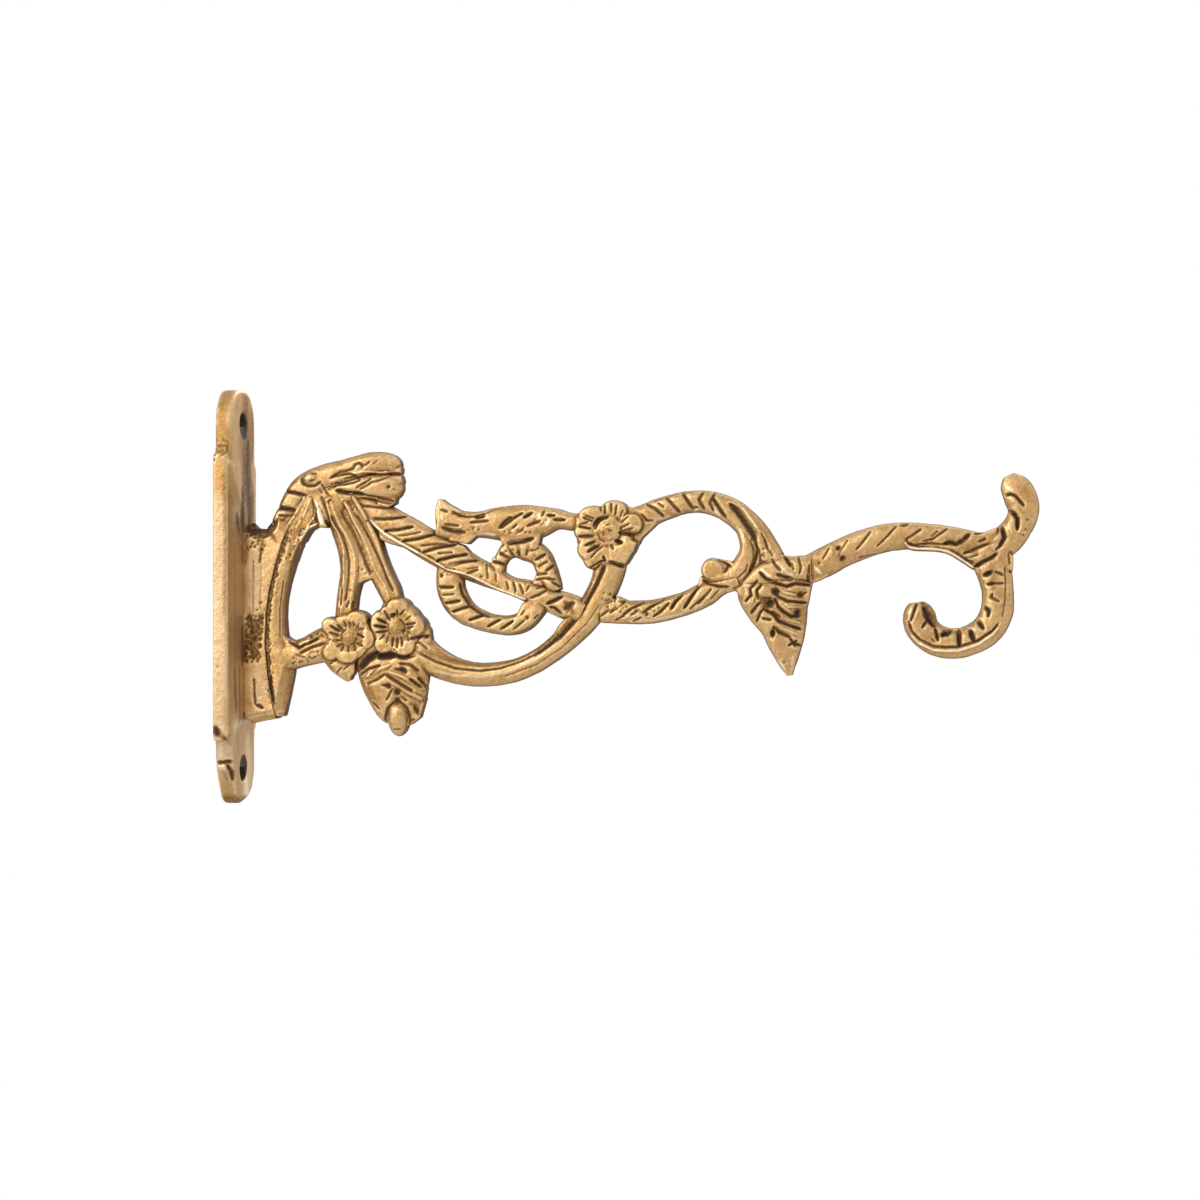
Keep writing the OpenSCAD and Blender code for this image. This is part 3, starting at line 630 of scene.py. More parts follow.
# %% The middle flower
MIDDLE_BOSS = [95.3, 15.8, 2.8]
wax = bmesh.new()
press_flower(wax, [
    [96.6, 20.8, 3.6, 2.6, -8], [90.9, 19.4, 3.6, 2.7, 12], [89.8, 15.6, 3.4, 2.4, 0],
    [90.6, 11.5, 3.4, 3.4, -20], [100.6, 17.4, 3.3, 3, 20]
], 4.4, MIDDLE_BOSS, [94.4, 14.6, 7.4])
cut_web(wax, [87, 19.4, 86.8, 16, 87.7, 14.4, 87.6, 11, 89.2, 8.8, 91.2, 7, 94, 9, 94, 19], 4.1, 1.4)
press_pebble(wax, 91.3, 9.1, 2.6, 2.7, 4.2, -20, 9)
# One petal is a flat trapezoid between two long cuts
cut_web(wax, [95, 13.4, 98.6, 14.6, 102.4, 13.2, 101.5, 11, 99.3, 7.6, 95.2, 8.6], 4.2)
middle = fuse("flower_centre", wax, 0.22)
chase(middle, [(1.1, 0.4, ring(*MIDDLE_BOSS[:2], 3.7))], dirty=0.2)
chase(middle, [
    (0.6, 0.7, ring(*MIDDLE_BOSS[:2], 3.3, 95, 170)), (0.6, 0.5, ring(*MIDDLE_BOSS[:2], 3.1, -50, 20)),
    (0.5, 1.0, 91.8, 17.2, 92.9, 18.6, 95.2, 19.2), (0.38, 0.7, 89.2, 19, 91.5, 18.1),
    (0.38, 0.6, 89.7, 19.5, 92, 18.7), (0.42, 0.9, 88, 17, 91.2, 16.3),
    (0.35, 0.6, 88.2, 17.4, 90.5, 17.9), (0.85, 0.7, 88, 14.4, 91.6, 14.6),
    (0.5, 1.0, 89.6, 12.3, 92.2, 13.4), (0.6, 1.2, 90.3, 10.8, 93.1, 12.4),
    (0.4, 0.6, 91, 9.3, 92.4, 10.9, 93.9, 12.2), (0.6, 1.2, 90.8, 6.7, 93.9, 8.6),
    (0.55, 1.0, 94, 9.8, 94.5, 8.3), (0.5, 1.2, 95.5, 8.4, 99, 7.1),
    (0.55, 1.3, 97.8, 15.4, 100.3, 14.9, 102.1, 14.2, 103.2, 13), (0.38, 0.6, 98.3, 15.6, 101.4, 16.5),
    (0.35, 0.6, 98.1, 16.5, 100.4, 17.5), (1.2, 1.2, 97.1, 13.4, 98.4, 13),
    (0.4, 0.8, 95.8, 12.5, 96.5, 11.4), (0.45, 0.7, 94.3, 22.2, 94.4, 19.7),
    (0.42, 0.6, 96, 22.6, 96, 20), (0.42, 0.6, 97.3, 22, 96.9, 19.5), (0.4, 0.5, 98.9, 20.8, 98.1, 19),
    (0.4, 0.5, 100.2, 19.4, 98.4, 17.9), (0.4, 0.4, 92.6, 15.2, 93.2, 13.8, 94.6, 13),
    (0.5, 0.35, 95.2, 16.1, 96.2, 15.7), (0.4, 0.3, 94.6, 17.2, 95.8, 17.5),
    (0.35, 0.3, 93.8, 15.6, 94.2, 14.6)
])
# A painted highlight along the edge of the right petal
tint(middle, "painted_highlight", [(0.6, 0.5, 101.6, 17, 103, 16.4, 103.4, 15.2)])
tint(middle, "oxide_and_shade", [
    (4.4, 0.32, 93, 15, 95.3, 15.8), (1.4, 0.5, 100, 15.8, 102.6, 14.4),
    (1.2, 0.45, 90.4, 12.8, 92.4, 12)
])

# %% [markdown]
# ## The leaf under the flowers
# A broad leaf hangs below the two flowers. Three dark hollows, cut deep and darkened with
# painted shade, part it from the petals, its veins are cut as chevrons with raised ridges
# between them, and a plump bud lies on its tip. The leaf is a stem pulled wide, and the
# bud one pressed pebble.

# %% The hanging leaf and its bud
LEAF_DROP_CUTS = [
    (1.6, 1.7, 33.6, -17.4, 36.2, -15.2, 38.8, -13.4), (1.6, 1.8, 39, -14.6, 41, -14.2, 43, -14.2),
    (1.4, 1.4, 43.3, -14.2, 45.5, -14.4, 48.4, -13.4), (0.5, 0.8, 34, -19, 36.6, -17.4, 39.4, -16.6),
    (0.45, 0.4, 36.8, -19, 38.6, -17.6), (0.45, 0.9, 40.6, -18.7, 44.2, -21, 47.4, -22.9),
    (0.5, 0.7, 40.6, -18.7, 38.7, -20, 36, -21.1), (0.95, -0.45, 41.6, -20.2, 45.9, -22.9, 50.4, -25.2),
    (0.8, -0.45, 41.6, -18.2, 44.9, -19.3, 50.1, -22.4),
    (0.9, -0.35, 41.9, -16.4, 39.4, -17.4, 35.8, -19.4), (0.6, 1.2, 46.6, -19.9, 49.6, -22),
    (0.5, 0.9, 48.6, -19.6, 50.9, -21.9), (1.5, 1.3, 44.6, -17.4, 45.6, -18.1),
    (0.5, 0.8, 45.2, -17.9, 43, -17.4), (0.55, 0.7, 44, -16.1, 46.8, -16.4, 49, -18),
    (1.4, 1.2, 41, -21.4, 41.7, -21.9), (0.5, 0.7, 41.3, -21.6, 39.8, -21.3), (1.5, 1.3, 43.5, -23.1),
    (1.3, 1.3, 43.5, -25.1), (0.5, 0.9, 43.6, -25, 43.6, -26.3), (0.38, 0.8, 42.4, -22.3, 40.9, -25.1),
    (0.38, 0.6, 44.1, -23.9, 46, -25.3), (1.2, 0.8, 47.8, -27, 48.4, -28.2), (0.65, 1.1, 47.3, -30),
    (0.55, 0.8, 43.4, -25, 41.2, -27, 40.2, -30, 41, -33),
    (0.55, 0.8, 43.6, -25, 45.8, -27, 46.6, -30, 46, -33), (0.6, 0.5, 37.2, -25.6, 39, -27.4),
    (0.45, 0.4, 49.4, -24.6, 50.6, -26.4),
    *ragged([47, -25.6, 48.4, -26.6, 48.6, -28.6], 0.5, 0.7, 0.4, 0.5)
]
wax = pull_stem([
    [43, -11, 8, 3.6], [42.2, -15.5, 9.3, 3.9], [42.4, -19.5, 9, 3.9], [43.1, -23.6, 7.8, 3.7],
    [43.8, -27, 6.5, 3.3], [44.6, -29.6, 4.6, 2.6]
], sides=40, flat=5)
cut_web(wax, [33, -13.6, 33.8, -17.6, 37, -20, 38, -14], 2.8)
cut_web(wax, [39, -26, 40.5, -30, 41.6, -32.4, 46.6, -31.2, 49, -29.4, 50.2, -25], 2.6)
leaf = fuse("leaf_drop", wax)
chase(leaf, LEAF_DROP_CUTS)
# Painted shade in the three hollows under the petals, and darker patches lower on the leaf
tint(leaf, "oxide_and_shade", [
    (1.7, 1.0, 34, -17, 36.4, -14.8, 38.6, -13.4), (1.7, 1.1, 39, -14.2, 42.8, -13.8),
    (1.5, 0.9, 43.4, -14, 48, -13.4), (1.6, 0.45, 47.6, -25.8, 48.6, -28.6),
    (1.2, 0.35, 36.2, -21, 38, -24.6), (1.0, 0.4, 47, -17, 50, -20.4)
])
wax = bmesh.new()
press_pebble(wax, 43.4, -29.1, 3, 5, 4.4, 0, 2.6)
chase(fuse("leaf_bud", wax), [(0.4, 0.3, 42.6, -32.1, 44.4, -32.1), (1.3, 1.2, 43.4, -25.2)])

# %% [markdown]
# ## Rope stems
# The band, the scroll, the arch and the lower rope are cut as twisted cord. Where the
# rope runs straight the strokes are long and lean far over. Round the bends they are
# short and cross the stem almost square. A smooth bead runs along the lower edge of
# the band, and it is painted with a highlight.

# %% The rope band
BAND_BEAD = [
    [36.2, 19], [38.3, 17], [40.6, 15.2], [44.7, 12.8], [48.7, 10.6], [52.5, 8.5], [56, 6.6], [60, 5.6],
    [63, 4.4], [67, 2.4], [71, 0.9], [75, -0.7]
]
wax = pull_stem([
    [33, 22.4, 3.4, 3.4], [36, 20.8, 3.8, 3.3], [44.4, 16.4, 3.9], [50.2, 12.9, 4], [56, 9.8, 4],
    [62, 6.7, 3.3], [66.5, 4.8, 3], [71, 2.7, 2.4], [75.5, 1.3, 2.9], [80, -0.6, 3], [84.5, -2.2, 3.4],
    [89, -4, 3.4]
], 3.2)
pull_bead(wax, BAND_BEAD, 0.7, 3.45)
cut_web(wax, [57, 13.6, 59.8, 12.6, 61.4, 10.8, 61.8, 9, 57, 10], 2.6)
cut_web(wax, [38.4, 16, 41, 15.8, 45.4, 13.4, 44.8, 11.8, 41.2, 12.8, 38.8, 13.8], 3)
band = fuse("rope_band", wax)
chase(band, [
    (0.42, 0.8, 33.4, 22.2, 37, 22, 41.2, 21.6), (0.55, 0.9, 37.2, 19, 40, 18.9, 42.8, 19.1, 45.6, 19.7),
    (0.55, 1.0, 40.4, 16, 43.6, 16.3, 47.4, 17.1), (0.4, 0.4, 43.6, 14.8, 46, 15, 49.4, 15.8),
    (0.55, 1.0, 44.7, 13.5, 48.7, 14.1, 52, 15.1, 56, 16.2),
    (0.42, 0.6, 49.2, 12.4, 53, 12.8, 55.8, 12.8), (0.55, 1.0, 49.8, 10.8, 53.4, 11.9, 58, 12.8),
    (0.4, 0.5, 53.4, 10.5, 57.2, 10.8), (0.55, 1.0, 53.1, 8.7, 57, 9.7, 60.8, 10.4),
    (0.55, 1.0, 55.6, 7.2, 59.4, 8.4, 63.4, 9), (0.45, 0.6, 60.6, 5.7, 63.5, 6.6),
    (0.35, 0.4, 60.6, 6.7, 63.6, 7.2), (0.5, 0.8, 64.2, 4.9), (0.5, 0.3, 65.4, 8, 65.8, 4.4),
    (0.5, 0.3, 67.6, 7.4, 67.8, 3.6), (0.45, 0.5, 70.3, 3.8, 70.8, 1.8), (0.45, 0.6, 72, 3.8, 72.6, 1.2),
    (0.45, 0.6, 73.6, 3.2, 74.5, 0.6), (0.4, 0.5, 75.2, 1.4, 76, 3),
    (0.5, 0.7, 76.1, -0.4, 78.4, 0.6, 80.2, 1.8), (0.4, 0.4, 77.6, 2, 79.2, 2.9),
    (0.7, 1.1, 80.1, -1.7, 82, -0.9, 84, 0.3), (0.45, 0.5, 78.2, -1.8, 79.6, -2.8),
    (0.6, 0.9, 80.9, -2.5, 82.2, -2.8, 83.6, -4.2), (2.2, 0.6, 84.8, -2.8, 86.6, -1.4),
    *ragged([83.6, -3.6, 86.6, -2.6, 86, -0.8], 0.6, 0.6, 0.4, 0.5)
])
# Painted highlights along the bead and the band's lower edge
tint(band, "painted_highlight", [
    (0.55, 1.0, BAND_BEAD[:5]), (0.5, 0.6, BAND_BEAD[5:]), (0.5, 0.8, 76.6, -1.1, 79.8, -2.4),
    (0.5, 1.0, 80.6, -3.4, 83, -4.9)
])
# Painted shade over the end of the band
tint(band, "oxide_and_shade", [(2.2, 0.5, 84.6, -1.2, 86.6, -3.8)])

# %% The scroll below the band
wax = pull_stem([
    [56.4, 8.5, 3.6], [56.1, 3.2, 3.7], [57.4, -0.8, 3.6], [59.8, -3.7, 3.2], [63, -5.4, 2.7],
    [66.6, -6.5, 2.5], [71, -6.9, 2.6], [74.6, -5.7, 2.7], [77, -3.6, 2.4], [78.8, -1, 2.4, 2.9],
    [80.4, 0.6, 2, 2.6]
], 3)
cut_web(wax, [72.2, -4.8, 73, -3.2, 73.9, -1.5, 76, 0.4, 79, 0.4, 78, -4, 75.4, -6], 2.8, 1)
scroll = fuse("rope_scroll", wax)
chase(scroll, [
    (0.75, 1.0, 54.2, 5.2), (0.5, 1.0, 53.4, 2.3, 57.4, 2.4), (0.38, 0.5, 54.4, 0.4, 57.6, 0.7),
    (0.5, 1.0, 55, -1.6, 59, -0.9), (0.5, 1.0, 56.8, -3.7, 61.2, -2.2), (0.5, 1.1, 61, -5.7, 65, -4.2),
    (0.48, 1.0, 65.6, -7.3, 69, -5.2), (0.48, 1.0, 68.8, -7.9, 72, -5.7),
    (0.45, 0.6, 72, -7.9, 74.8, -5.6), (0.7, 0.9, 75.4, -5), (0.4, 0.4, 73.8, -4.4, 74.8, -3.2),
    (0.4, 0.4, 77, -5.4, 78.2, -4.2), (0.7, 0.8, 58.9, 3.4, 59.6, 0.8, 61.6, -2.2, 64, -3.8, 66.2, -4.7),
    (0.3, 0.35, 54, -3.6, 57.3, -5.6, 61.7, -7.9, 66.7, -9.2, 72.4, -9.4),
    *ragged([54.4, 7, 55.6, 5.6, 57, 5], 0.6, 0.5, 0.35, 0.4)
])
# A painted highlight along the scroll's lower edge
tint(scroll, "painted_highlight", [(0.5, 0.35, 55.6, -4, 58.2, -5.9, 62, -7.4, 66.9, -8.6, 72, -8.8)])

# %% The small loop
LOOP_JOINT = (0.8, 1.2, 70.6, 12.9, 71.9, 13.1, 74.1, 13.4, 76.8, 14.1)
wax = pull_stem([
    [67.8, 4, 2.2], [68.3, 7.4, 1.7], [69.4, 10.2, 2.1], [71.6, 11.8, 2.6], [74.6, 11.7, 3.1],
    [78.2, 9.8, 2.8], [79.9, 6.2, 2.8], [81.4, 3, 2.3], [82, 1.2, 1.9, 2.4]
], 2.9)
cut_web(wax, [76, 2.4, 77.2, 5.4, 79, 6, 79, 2.4], 2.7)
cut_web(wax, [65.6, 6.4, 66.6, 9.6, 69, 10, 69, 6.4], 2.4)
chase(fuse("scroll_loop", wax), [
    (0.55, 0.9, 66.8, 8.6, 69.2, 8, 70.6, 7.4), (0.5, 0.7, 68.4, 10.8, 70.8, 9.4),
    (0.42, 0.7, 70.6, 12.4, 71.9, 9.8), (0.45, 0.7, 73.2, 12.6, 73.3, 9.6),
    (0.45, 0.7, 75.8, 12.6, 75, 9.8), (0.5, 0.8, 76.2, 11.2, 78.2, 12),
    (0.55, 0.9, 77.2, 8.8, 79.9, 10.4), (0.42, 0.6, 77.8, 7.2, 80.4, 8.6),
    (0.55, 0.8, 79.9, 6.2, 82, 7.7), (0.45, 0.6, 77.6, 5.4, 80.4, 5.6),
    (0.45, 0.6, 77.2, 4.1, 79.5, 4.4, 82.4, 4.2), (0.5, 0.7, 81.4, 3.6, 83.6, 2.4), LOOP_JOINT,
    *ragged([69, 8.6, 71, 11.4, 74.6, 11.4, 78, 9.4, 80, 6, 81.6, 3], 0.7, 1.2, 0.4, 0.45)
])

# %% The tail leaf
wax = pull_stem([
    [53.2, 18, 4.2], [57.8, 17.2, 4.2], [62.5, 17.5, 3.3], [68, 17.7, 4.2], [73, 17.6, 4.8],
    [78, 18.1, 4.1], [82.5, 18.7, 2.7], [86, 18.1, 2.3], [90.5, 18, 2.6]
], 3.1, sides=32)
cut_web(wax, [52.7, 16, 52.5, 21.4, 53.3, 23.8, 54.2, 23.9, 56, 22.6, 59.2, 20.9, 59, 16], 2.9)
cut_web(wax, [56, 13.4, 60.8, 12.6, 63, 14.6, 62, 17, 56, 17], 2.8)
cut_web(wax, [68, 16, 68.8, 13, 70.4, 11, 78, 11, 78.8, 15, 78, 17], 2.7)
tail = fuse("tail_leaf", wax)
chase(tail, [
    (0.65, 0.9, 57.3, 20.4), (0.5, 0.8, 57.3, 20.4, 58.6, 19.8, 60.7, 19.5, 62.7, 19.6, 65.2, 20.3),
    (0.35, 0.3, 65, 20.2, 67, 21, 69.4, 21.6), (0.55, 1.0, 62.8, 19.1, 65, 19.5),
    (0.45, 0.8, 61.4, 18, 65.9, 18.4), (0.55, 1.0, 68.5, 16.6, 69.9, 18.2, 71.5, 19.3),
    (0.42, 0.9, 69, 16.6, 72.4, 19.2, 74.3, 20.3), (0.65, 1.0, 74.6, 19.1, 76.6, 20.4),
    (0.6, 0.7, 75.4, 17.1, 78.6, 18.3), (0.4, 0.8, 79.5, 21, 79, 19.4),
    (0.5, 1.0, 80.2, 19.7, 82.2, 19.6), (0.5, 1.0, 81.8, 18.6, 84.7, 18.5),
    (0.42, 0.6, 54.1, 21.2, 55.9, 20.5), LOOP_JOINT, (1.3, 0.6, 54.6, 16.8, 57.4, 15.8, 60, 15.6),
    (0.5, 0.7, 55, 17.6, 58.6, 17.2), (0.45, 0.5, 71.6, 16.4, 73, 17.6),
    (0.45, 0.5, 73.2, 15.4, 74.6, 16.6), *ragged([60.4, 16.4, 63.6, 16.4], 0.7, 0.4, 0.4, 0.5),
    *ragged([70, 15, 73, 16, 76.4, 15.8], 0.6, 0.8, 0.4, 0.5),
    *ragged([76.6, 18.4, 79.4, 17.6, 80, 19], 0.7, 0.5, 0.4, 0.4)
])
# Painted highlights on the tail leaf's edges
tint(tail, "painted_highlight", [
    (0.6, 0.8, 62.6, 15, 65, 15.2, 67.6, 15), (0.9, 0.8, 80.2, 17.2, 80.6, 18.6),
    (0.5, 0.7, 78.3, 20.2, 78, 18.8), (0.5, 0.4, 54.4, 18.6, 54.2, 22)
])

# %% The curved stem
STEM_LINE = [
    [48.6, -13.4], [53, -15.7], [58, -17.3], [64, -17.8], [69, -17.1], [74, -15.4], [77.4, -13.7],
    [83.6, -9.4], [88.3, -4.1], [90.7, 0.4], [92.4, 3.4], [94.2, 7.4]
]
wax = pull_stem([
    [47.5, -11.5, 4], [50.4, -14.4, 4], [53.5, -16.3, 3.7], [57.5, -17.9, 3.3], [62.3, -18.8, 3.1],
    [68, -18.6, 3], [74, -17.1, 2.9], [80, -13.8, 2.9], [86.2, -8.5, 3.3], [90.8, -3, 3.7], [94, 3, 3.8],
    [95.4, 8.5, 4.2], [95.6, 13, 4]
], 3.4)
cut_web(wax, [96, -0.4, 98.6, -1, 99, -3, 94, -4], 2.8)
cut_web(wax, [80.4, -11, 81, -9.9, 82.5, -7.2, 84.2, -5.2, 88, -3, 89, -8, 84, -12], 3.2, 1)
stem = fuse("curved_stem", wax)
chase(stem, [
    (0.42, 0.7, STEM_LINE[:7]), (1.1, 0.9, STEM_LINE[6:]), *ragged(STEM_LINE[6:], 0.8, 0.5, 0.45, 0.5),
    (0.35, 0.25, 70, -19.2, 78, -16.2, 84, -12.2, 90, -6.4, 93, -2), (0.5, 1.0, 95.5, 8.4, 99, 7.1),
    (0.6, 1.0, 90.8, 6.7, 93.9, 8.6), (0.6, 0.6, 95.6, 0.6), (0.6, 0.6, 96.8, -1), (0.6, 0.6, 95.6, -2.6),
    (0.5, 0.5, 94.6, -0.8), (0.45, 0.5, 46.4, -10.6, 49, -11, 51, -12.6),
    *ragged([93.6, 1, 95, -1, 97, -2.4], 0.7, 0.7, 0.4, 0.5)
])
# Painted shade along the band above the groove
tint(stem, "oxide_and_shade", [
    (1.6, 0.4, 50, -13, 56, -15.2, 64, -16.2, 72, -14.9, 80, -11),
    (1.4, 0.4, 78, -12.6, 84, -7.6, 88, -2.4, 91, 3.4)
])
# A painted highlight along the stem's lower edge
tint(stem, "painted_highlight", [(0.5, 0.35, 52, -17.8, 58, -19, 64, -19.2, 70, -18.2, 78, -14.8, 86, -8)])

# %% [markdown]
# ## The arch, its curl and the lower rope
# The rope arch springs from the middle flower, splits into two strands as it falls, and
# the inner strand curls up to a small ball. The lower rope closes the loop below.

# %% The arch and the inner curl
SPLIT = [[124.5, 22], [126.2, 20.2], [127.6, 18.2], [128.7, 16.6], [129.8, 14.9], [130.4, 13.2]]
ARCH_CUTS = [
    (0.5, 0.6, 103, 19.8, 104.6, 18.2, 106, 18.2), (0.6, 0.8, 104.2, 22.4, 106.6, 21, 108.6, 19),
    (0.6, 0.8, 108.9, 24, 110.4, 22.4, 112.4, 20), (0.5, 0.4, 107, 22.6, 108.6, 21.4),
    (0.65, 0.9, 112.8, 25.2, 114.2, 23, 115.6, 20.8), (0.55, 0.7, 115.7, 21.4, 116.8, 21.2),
    (0.7, 0.7, 118, 25.2, 117, 23.2, 118.2, 20.8), (0.6, 0.8, 120.8, 25, 119.6, 22.4, 120.4, 20.4),
    (0.6, 1.2, 120.3, 23.6, 122.2, 20.5, 123.3, 18.6), (1.3, 1.1, SPLIT),
    *ragged(SPLIT[2:], 0.5, 0.6, 0.45, 0.7), (0.6, 1.1, 130.4, 13.4, 130.8, 10.9, 130.2, 8.2, 129.2, 5.8),
    (0.5, 0.9, 131.9, 15.2, 132.7, 13.5, 133.4, 11.4), (0.4, 0.4, 133.4, 11.4, 134.8, 9.6),
    *ragged([132.6, 11, 132.4, 8.6, 133, 6.6], 0.4, 0.6, 0.42, 0.8), (0.45, 0.6, 131.2, 11.6, 131.6, 8),
    (0.5, 0.7, 134.4, 9, 135.4, 7.4, 136.6, 6.2), (0.65, 1.1, 137, 10.6, 138.3, 8.4, 139, 7.2),
    (0.4, 0.7, 136.8, 11.4), (0.4, 0.3, 106, 22.9, 112, 24.8, 118, 25.4)
]
wax = pull_stem([
    [97.5, 16.6, 3.8, 3.3], [103, 18.9, 3.3], [108.6, 21.3, 3], [114.8, 22.8, 2.8], [120.4, 22.3, 3],
    [125.4, 19.9, 3.3], [129.8, 15.7, 3.4], [133.2, 10.8, 3.3], [136, 5.6, 3.2]
], 3.2)
cut_web(wax, [98, 22.6, 101, 21.4, 105, 21.4, 103, 18, 99, 18], 2.8)
cut_web(wax, [100, 11.6, 102.4, 12.4, 103.2, 14, 107, 17.5, 103, 19, 98, 17], 2.7)
cut_web(wax, [128.6, 12.4, 131.6, 12.4, 132.6, 8, 131, 5.6, 128.6, 6.4], 2.4)
pull_bead(wax, [[124, 22.6], [127.4, 20.9], [129.4, 18.4], [131.4, 15.6], [133, 13.4]], 0.9, 3.5)
arch = fuse("rope_arch", wax)
chase(arch, ARCH_CUTS, dirty=0.85)
BALL_CUTS = [
    (0.5, 0.9, 121.6, 9, 123, 8.3, 124.6, 7.3), (0.45, 0.8, 124, 7.6, 123.1, 5.9),
    (0.9, 0.9, 118, 4, 119.4, 3.1, 121.7, 2.5, 124.2, 2.3)
]
wax = pull_stem([
    [124.6, 20, 2], [127.2, 16.3, 1.9], [128.5, 12, 2.1, 3.1], [127.7, 8, 2.8, 3.1],
    [125.6, 5.3, 2.9, 3.1], [123, 4.4, 2.5], [119.8, 5, 1.8, 2.7]
], 3)
cut_web(wax, [121.2, 9.3, 125, 8.6, 126, 5, 121, 4], 2.5)
cut_web(wax, [116.2, 2.4, 117.2, 5.2, 122, 4, 124, 2, 119, 0.8], 2.4)
cut_web(wax, [126.4, 5, 129.8, 5, 129.6, 2, 126.6, 1.6], 2.4)
curl = fuse("inner_curl", wax)
chase(curl, [
    *ARCH_CUTS, *BALL_CUTS, (0.4, 0.4, 128.6, 7.8, 128.2, 6.2, 126.2, 4.4, 121.9, 3.6),
    (0.75, 1.0, 128.3, 3.9)
])
# Painted highlights on the curl and the arch
tint(curl, "painted_highlight", [(0.5, 0.5, 124.4, 20, 126.6, 17, 127.8, 13)])
tint(arch, "painted_highlight", [
    (0.55, 1.0, 119.4, 21.8, 122.1, 19.2), (0.6, 1.0, 115.7, 20.6, 116.6, 21),
    (0.45, 0.6, 127.3, 21.3, 129, 19.1, 130.7, 16.6), (0.5, 0.5, 104, 17.6, 110, 19.4),
    (0.5, 0.8, 131.8, 6.4, 133.2, 5.3, 134.4, 4.5)
])
wax = bmesh.new()
press_pebble(wax, 120.2, 6.4, 3.1, 3.1, 2.9, 0, 9)
chase(fuse("ball_terminal", wax), BALL_CUTS)

# %% The lower rope
wax = pull_stem([
    [93, -3.4, 3], [99.5, -3.7, 3], [105, -3.6, 3], [110, -2.6, 3], [114.4, -1.2, 3], [118.4, 0.7, 3.1],
    [122.4, 2.6, 2.2], [126.4, 3.9, 2, 3]
], 3.1)
cut_web(wax, [96, -3, 97, 0.4, 99.6, -0.7, 101, -3], 2.7)
cut_web(wax, [121.8, -0.1, 123.2, 0.8, 125.8, 1.4, 127.8, 3, 124, 4], 2.6)
lower = fuse("lower_rope", wax)
chase(lower, [
    (0.6, 1.2, 113.4, -2.8, 114.9, -0.4, 116.2, 1.8, 117.8, 4.1),
    (0.6, 1.2, 110.2, -3, 111.4, -1, 113, 0.9), (0.45, 0.6, 114.8, -3, 117.1, -0.9, 119.3, 1),
    (0.5, 0.9, 103.4, -3.9, 105.6, -2.2, 108.6, -0.4), (0.5, 0.9, 106, -4.8, 107.8, -3.5, 109.8, -1.4),
    (0.7, 1.0, 104.4, -4.2), (0.5, 0.8, 98.6, -4.4, 101, -2.6, 103.6, -1.2),
    (0.42, 0.6, 100.6, -4.4, 102.6, -3), (0.5, 0.8, 95.6, -3.8, 98, -1.8, 99.8, -0.5),
    (0.5, 0.6, 93.2, -4.8, 95.4, -3), (0.45, 0.6, 116.8, -1.8, 118.4, 0, 120, 2),
    (0.4, 0.5, 119.8, -0.6, 121.8, 1.6), (0.6, 0.8, 117.4, 4.4, 119.4, 3.2, 121.7, 2.5, 124.2, 2.3),
    (0.45, 0.6, 96.6, -5.8, 99, -4.6), (0.45, 0.6, 101, -6, 103.2, -4.9),
    *ragged([95, -2.6, 99, -3, 103, -3.4, 108, -3], 0.7, 0.9, 0.4, 0.5)
])
# A painted highlight along the rope's lower edge
tint(lower, "painted_highlight", [(0.5, 0.4, 100, -5.8, 106, -5.6, 112, -4.2, 118, -1.6)])

# %% [markdown]
# ## The calyx and the pointed leaf
# The arch, the curl, the rope and the hook bar all meet in a small cup, and a pointed
# leaf hangs from it. Its veins are wavy, deep and uneven, with punched eyes between,
# and its tip was left smooth.

